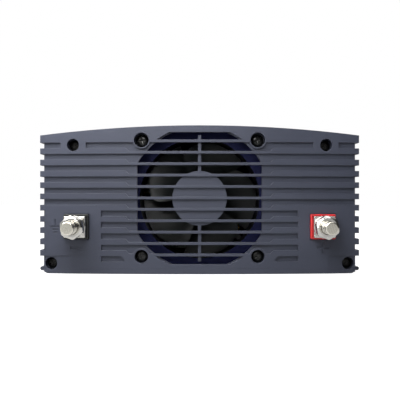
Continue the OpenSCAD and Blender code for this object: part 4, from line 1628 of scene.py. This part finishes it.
@dataclass(frozen=True)
class Softbox:
    """An area light aimed at a point.

    Attributes:
        name: the light's name.
        place: where it stands, in metres.
        aim: what it points at, in metres.
        size: its width and height, in metres.
        power: its power, in watts.
        colour: its colour.
    """

    name: str
    place: Point
    aim: Point
    size: Span
    power: float
    colour: Colour = (1.0, 1.0, 1.0)

    def build(self) -> None:
        """Adds the light to the scene."""
        light = bpy.data.lights.new(self.name, "AREA")
        light.shape = "RECTANGLE"
        light.size, light.size_y = self.size
        light.energy = self.power
        light.color = self.colour
        lamp = bpy.data.objects.new(self.name, light)
        lamp.location = self.place
        lamp.rotation_euler = (Vector(self.aim) - Vector(self.place)).to_track_quat("-Z", "Y").to_euler()
        bpy.context.scene.collection.objects.link(lamp)


@dataclass
class Studio:
    """White surroundings, soft light and the camera.

    Attributes:
        front: the middle of the inverter's front face, as y in metres.
    """

    front: float
    distance: float = 0.385
    lens: float = 56.6
    eye_z: float = 0.04545
    eye_x: float = 0.00025
    floor_glow: float = 0.92
    floor_mirrored: float = 0.35
    sky: Span = (0.02, 0.46)
    sky_way: Point = (-0.75, -0.15, 0.75)

    def floor(self) -> None:
        """Adds the floor: white where the camera sees it, but dull as a source of light."""
        mesh = bmesh.new()
        bmesh.ops.create_circle(mesh, cap_ends=True, segments=64, radius=6.0)
        paper = Finish("paper", (0.2, 0.2, 0.2), (0.22, 0.22, 0.22), (0.7, 0.8), grain=300.0, bump=0.0)
        floor = new_object("floor", mesh, paper)
        tree = floor.data.materials[0].node_tree
        g = Graph(tree)
        shader = tree.nodes["Principled BSDF"]
        path = g.add("ShaderNodeLightPath")
        seen = g.math("MULTIPLY", path.outputs["Is Camera Ray"], self.floor_glow)
        mirrored = g.math("MULTIPLY", path.outputs["Is Glossy Ray"], self.floor_mirrored)
        g.feed(shader, "Emission Strength", g.math("ADD", seen, mirrored))
        shader.inputs["Emission Color"].default_value = (1.0, 1.0, 1.0, 1.0)

    def world(self) -> None:
        """Makes a white background, with a sky that is bright above and to the left for the light."""
        world = bpy.data.worlds.new("studio_sky")
        world.use_nodes = True
        world.node_tree.nodes.clear()
        g = Graph(world.node_tree)
        way = g.add("ShaderNodeTexCoord").outputs["Generated"]
        height = g.add("ShaderNodeVectorMath", {"operation": "DOT_PRODUCT"})
        g.feed(height, 0, way)
        g.feed(height, 1, Vector(self.sky_way).normalized())
        level = g.remap(height.outputs["Value"], (-0.35, 0.85), self.sky)
        sky = g.add("ShaderNodeBackground", Strength=level)
        white = g.add("ShaderNodeBackground", Strength=1.0)
        seen = g.add("ShaderNodeLightPath").outputs["Is Camera Ray"]
        both = g.add("ShaderNodeMixShader")
        for index, value in enumerate((seen, sky.outputs[0], white.outputs[0])):
            g.feed(both, index, value)
        for node in (sky, white):
            node.inputs["Color"].default_value = (1.0, 1.0, 1.0, 1.0)
        g.add("ShaderNodeOutputWorld", Surface=both.outputs[0])
        bpy.context.scene.world = world

    def lights(self) -> None:
        """Adds the softboxes: the key above and to the left, the rest weak."""
        middle = (0.0, self.front, 0.045)
        for box in (
            Softbox("key", (-0.1, self.front - 0.09, 0.2), middle, (0.4, 0.14), 1.12),
            Softbox("card", (-0.3, self.front - 1.3, 0.32), middle, (0.76, 0.4), 0.91, (1.0, 0.98, 0.92)),
            Softbox("left_strip", (-0.5, self.front - 0.3, 0.12), middle, (0.06, 0.3), 0.25),
            Softbox("top", (0.0, 0.05, 1.2), (0.0, 0.05, 0.0), (1.2, 1.2), 7.0),
            Softbox("back", (0.4, 1.2, 0.9), (0.0, 0.1, 0.05), (0.8, 0.8), 12.0),
        ):
            box.build()

    def camera(self) -> None:
        """Adds the level camera in front of the battery end."""
        camera = bpy.data.cameras.new("camera")
        camera.lens = self.lens
        camera.sensor_width = 36.0
        camera.clip_start = 0.01
        camera.clip_end = 50.0
        eye = bpy.data.objects.new("camera", camera)
        eye.location = (self.eye_x, self.front - self.distance, self.eye_z)
        eye.rotation_euler = (math.pi / 2, 0.0, 0.0)
        bpy.context.scene.collection.objects.link(eye)
        bpy.context.scene.camera = eye

    def build(self) -> None:
        """Sets the whole studio up."""
        self.camera()
        self.floor()
        self.world()
        self.lights()
        bpy.context.scene.view_settings.view_transform = "Standard"


def main() -> None:
    """Builds the studio and the inverter, in order."""
    logging.basicConfig(level=logging.INFO, format="%(name)s: %(message)s")
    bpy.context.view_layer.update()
    front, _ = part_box("dc_bezel")
    Studio(front[1]).build()
    inverter = Inverter()
    inverter.dress()
    inverter.build()


if __name__ == "__main__":
    main()
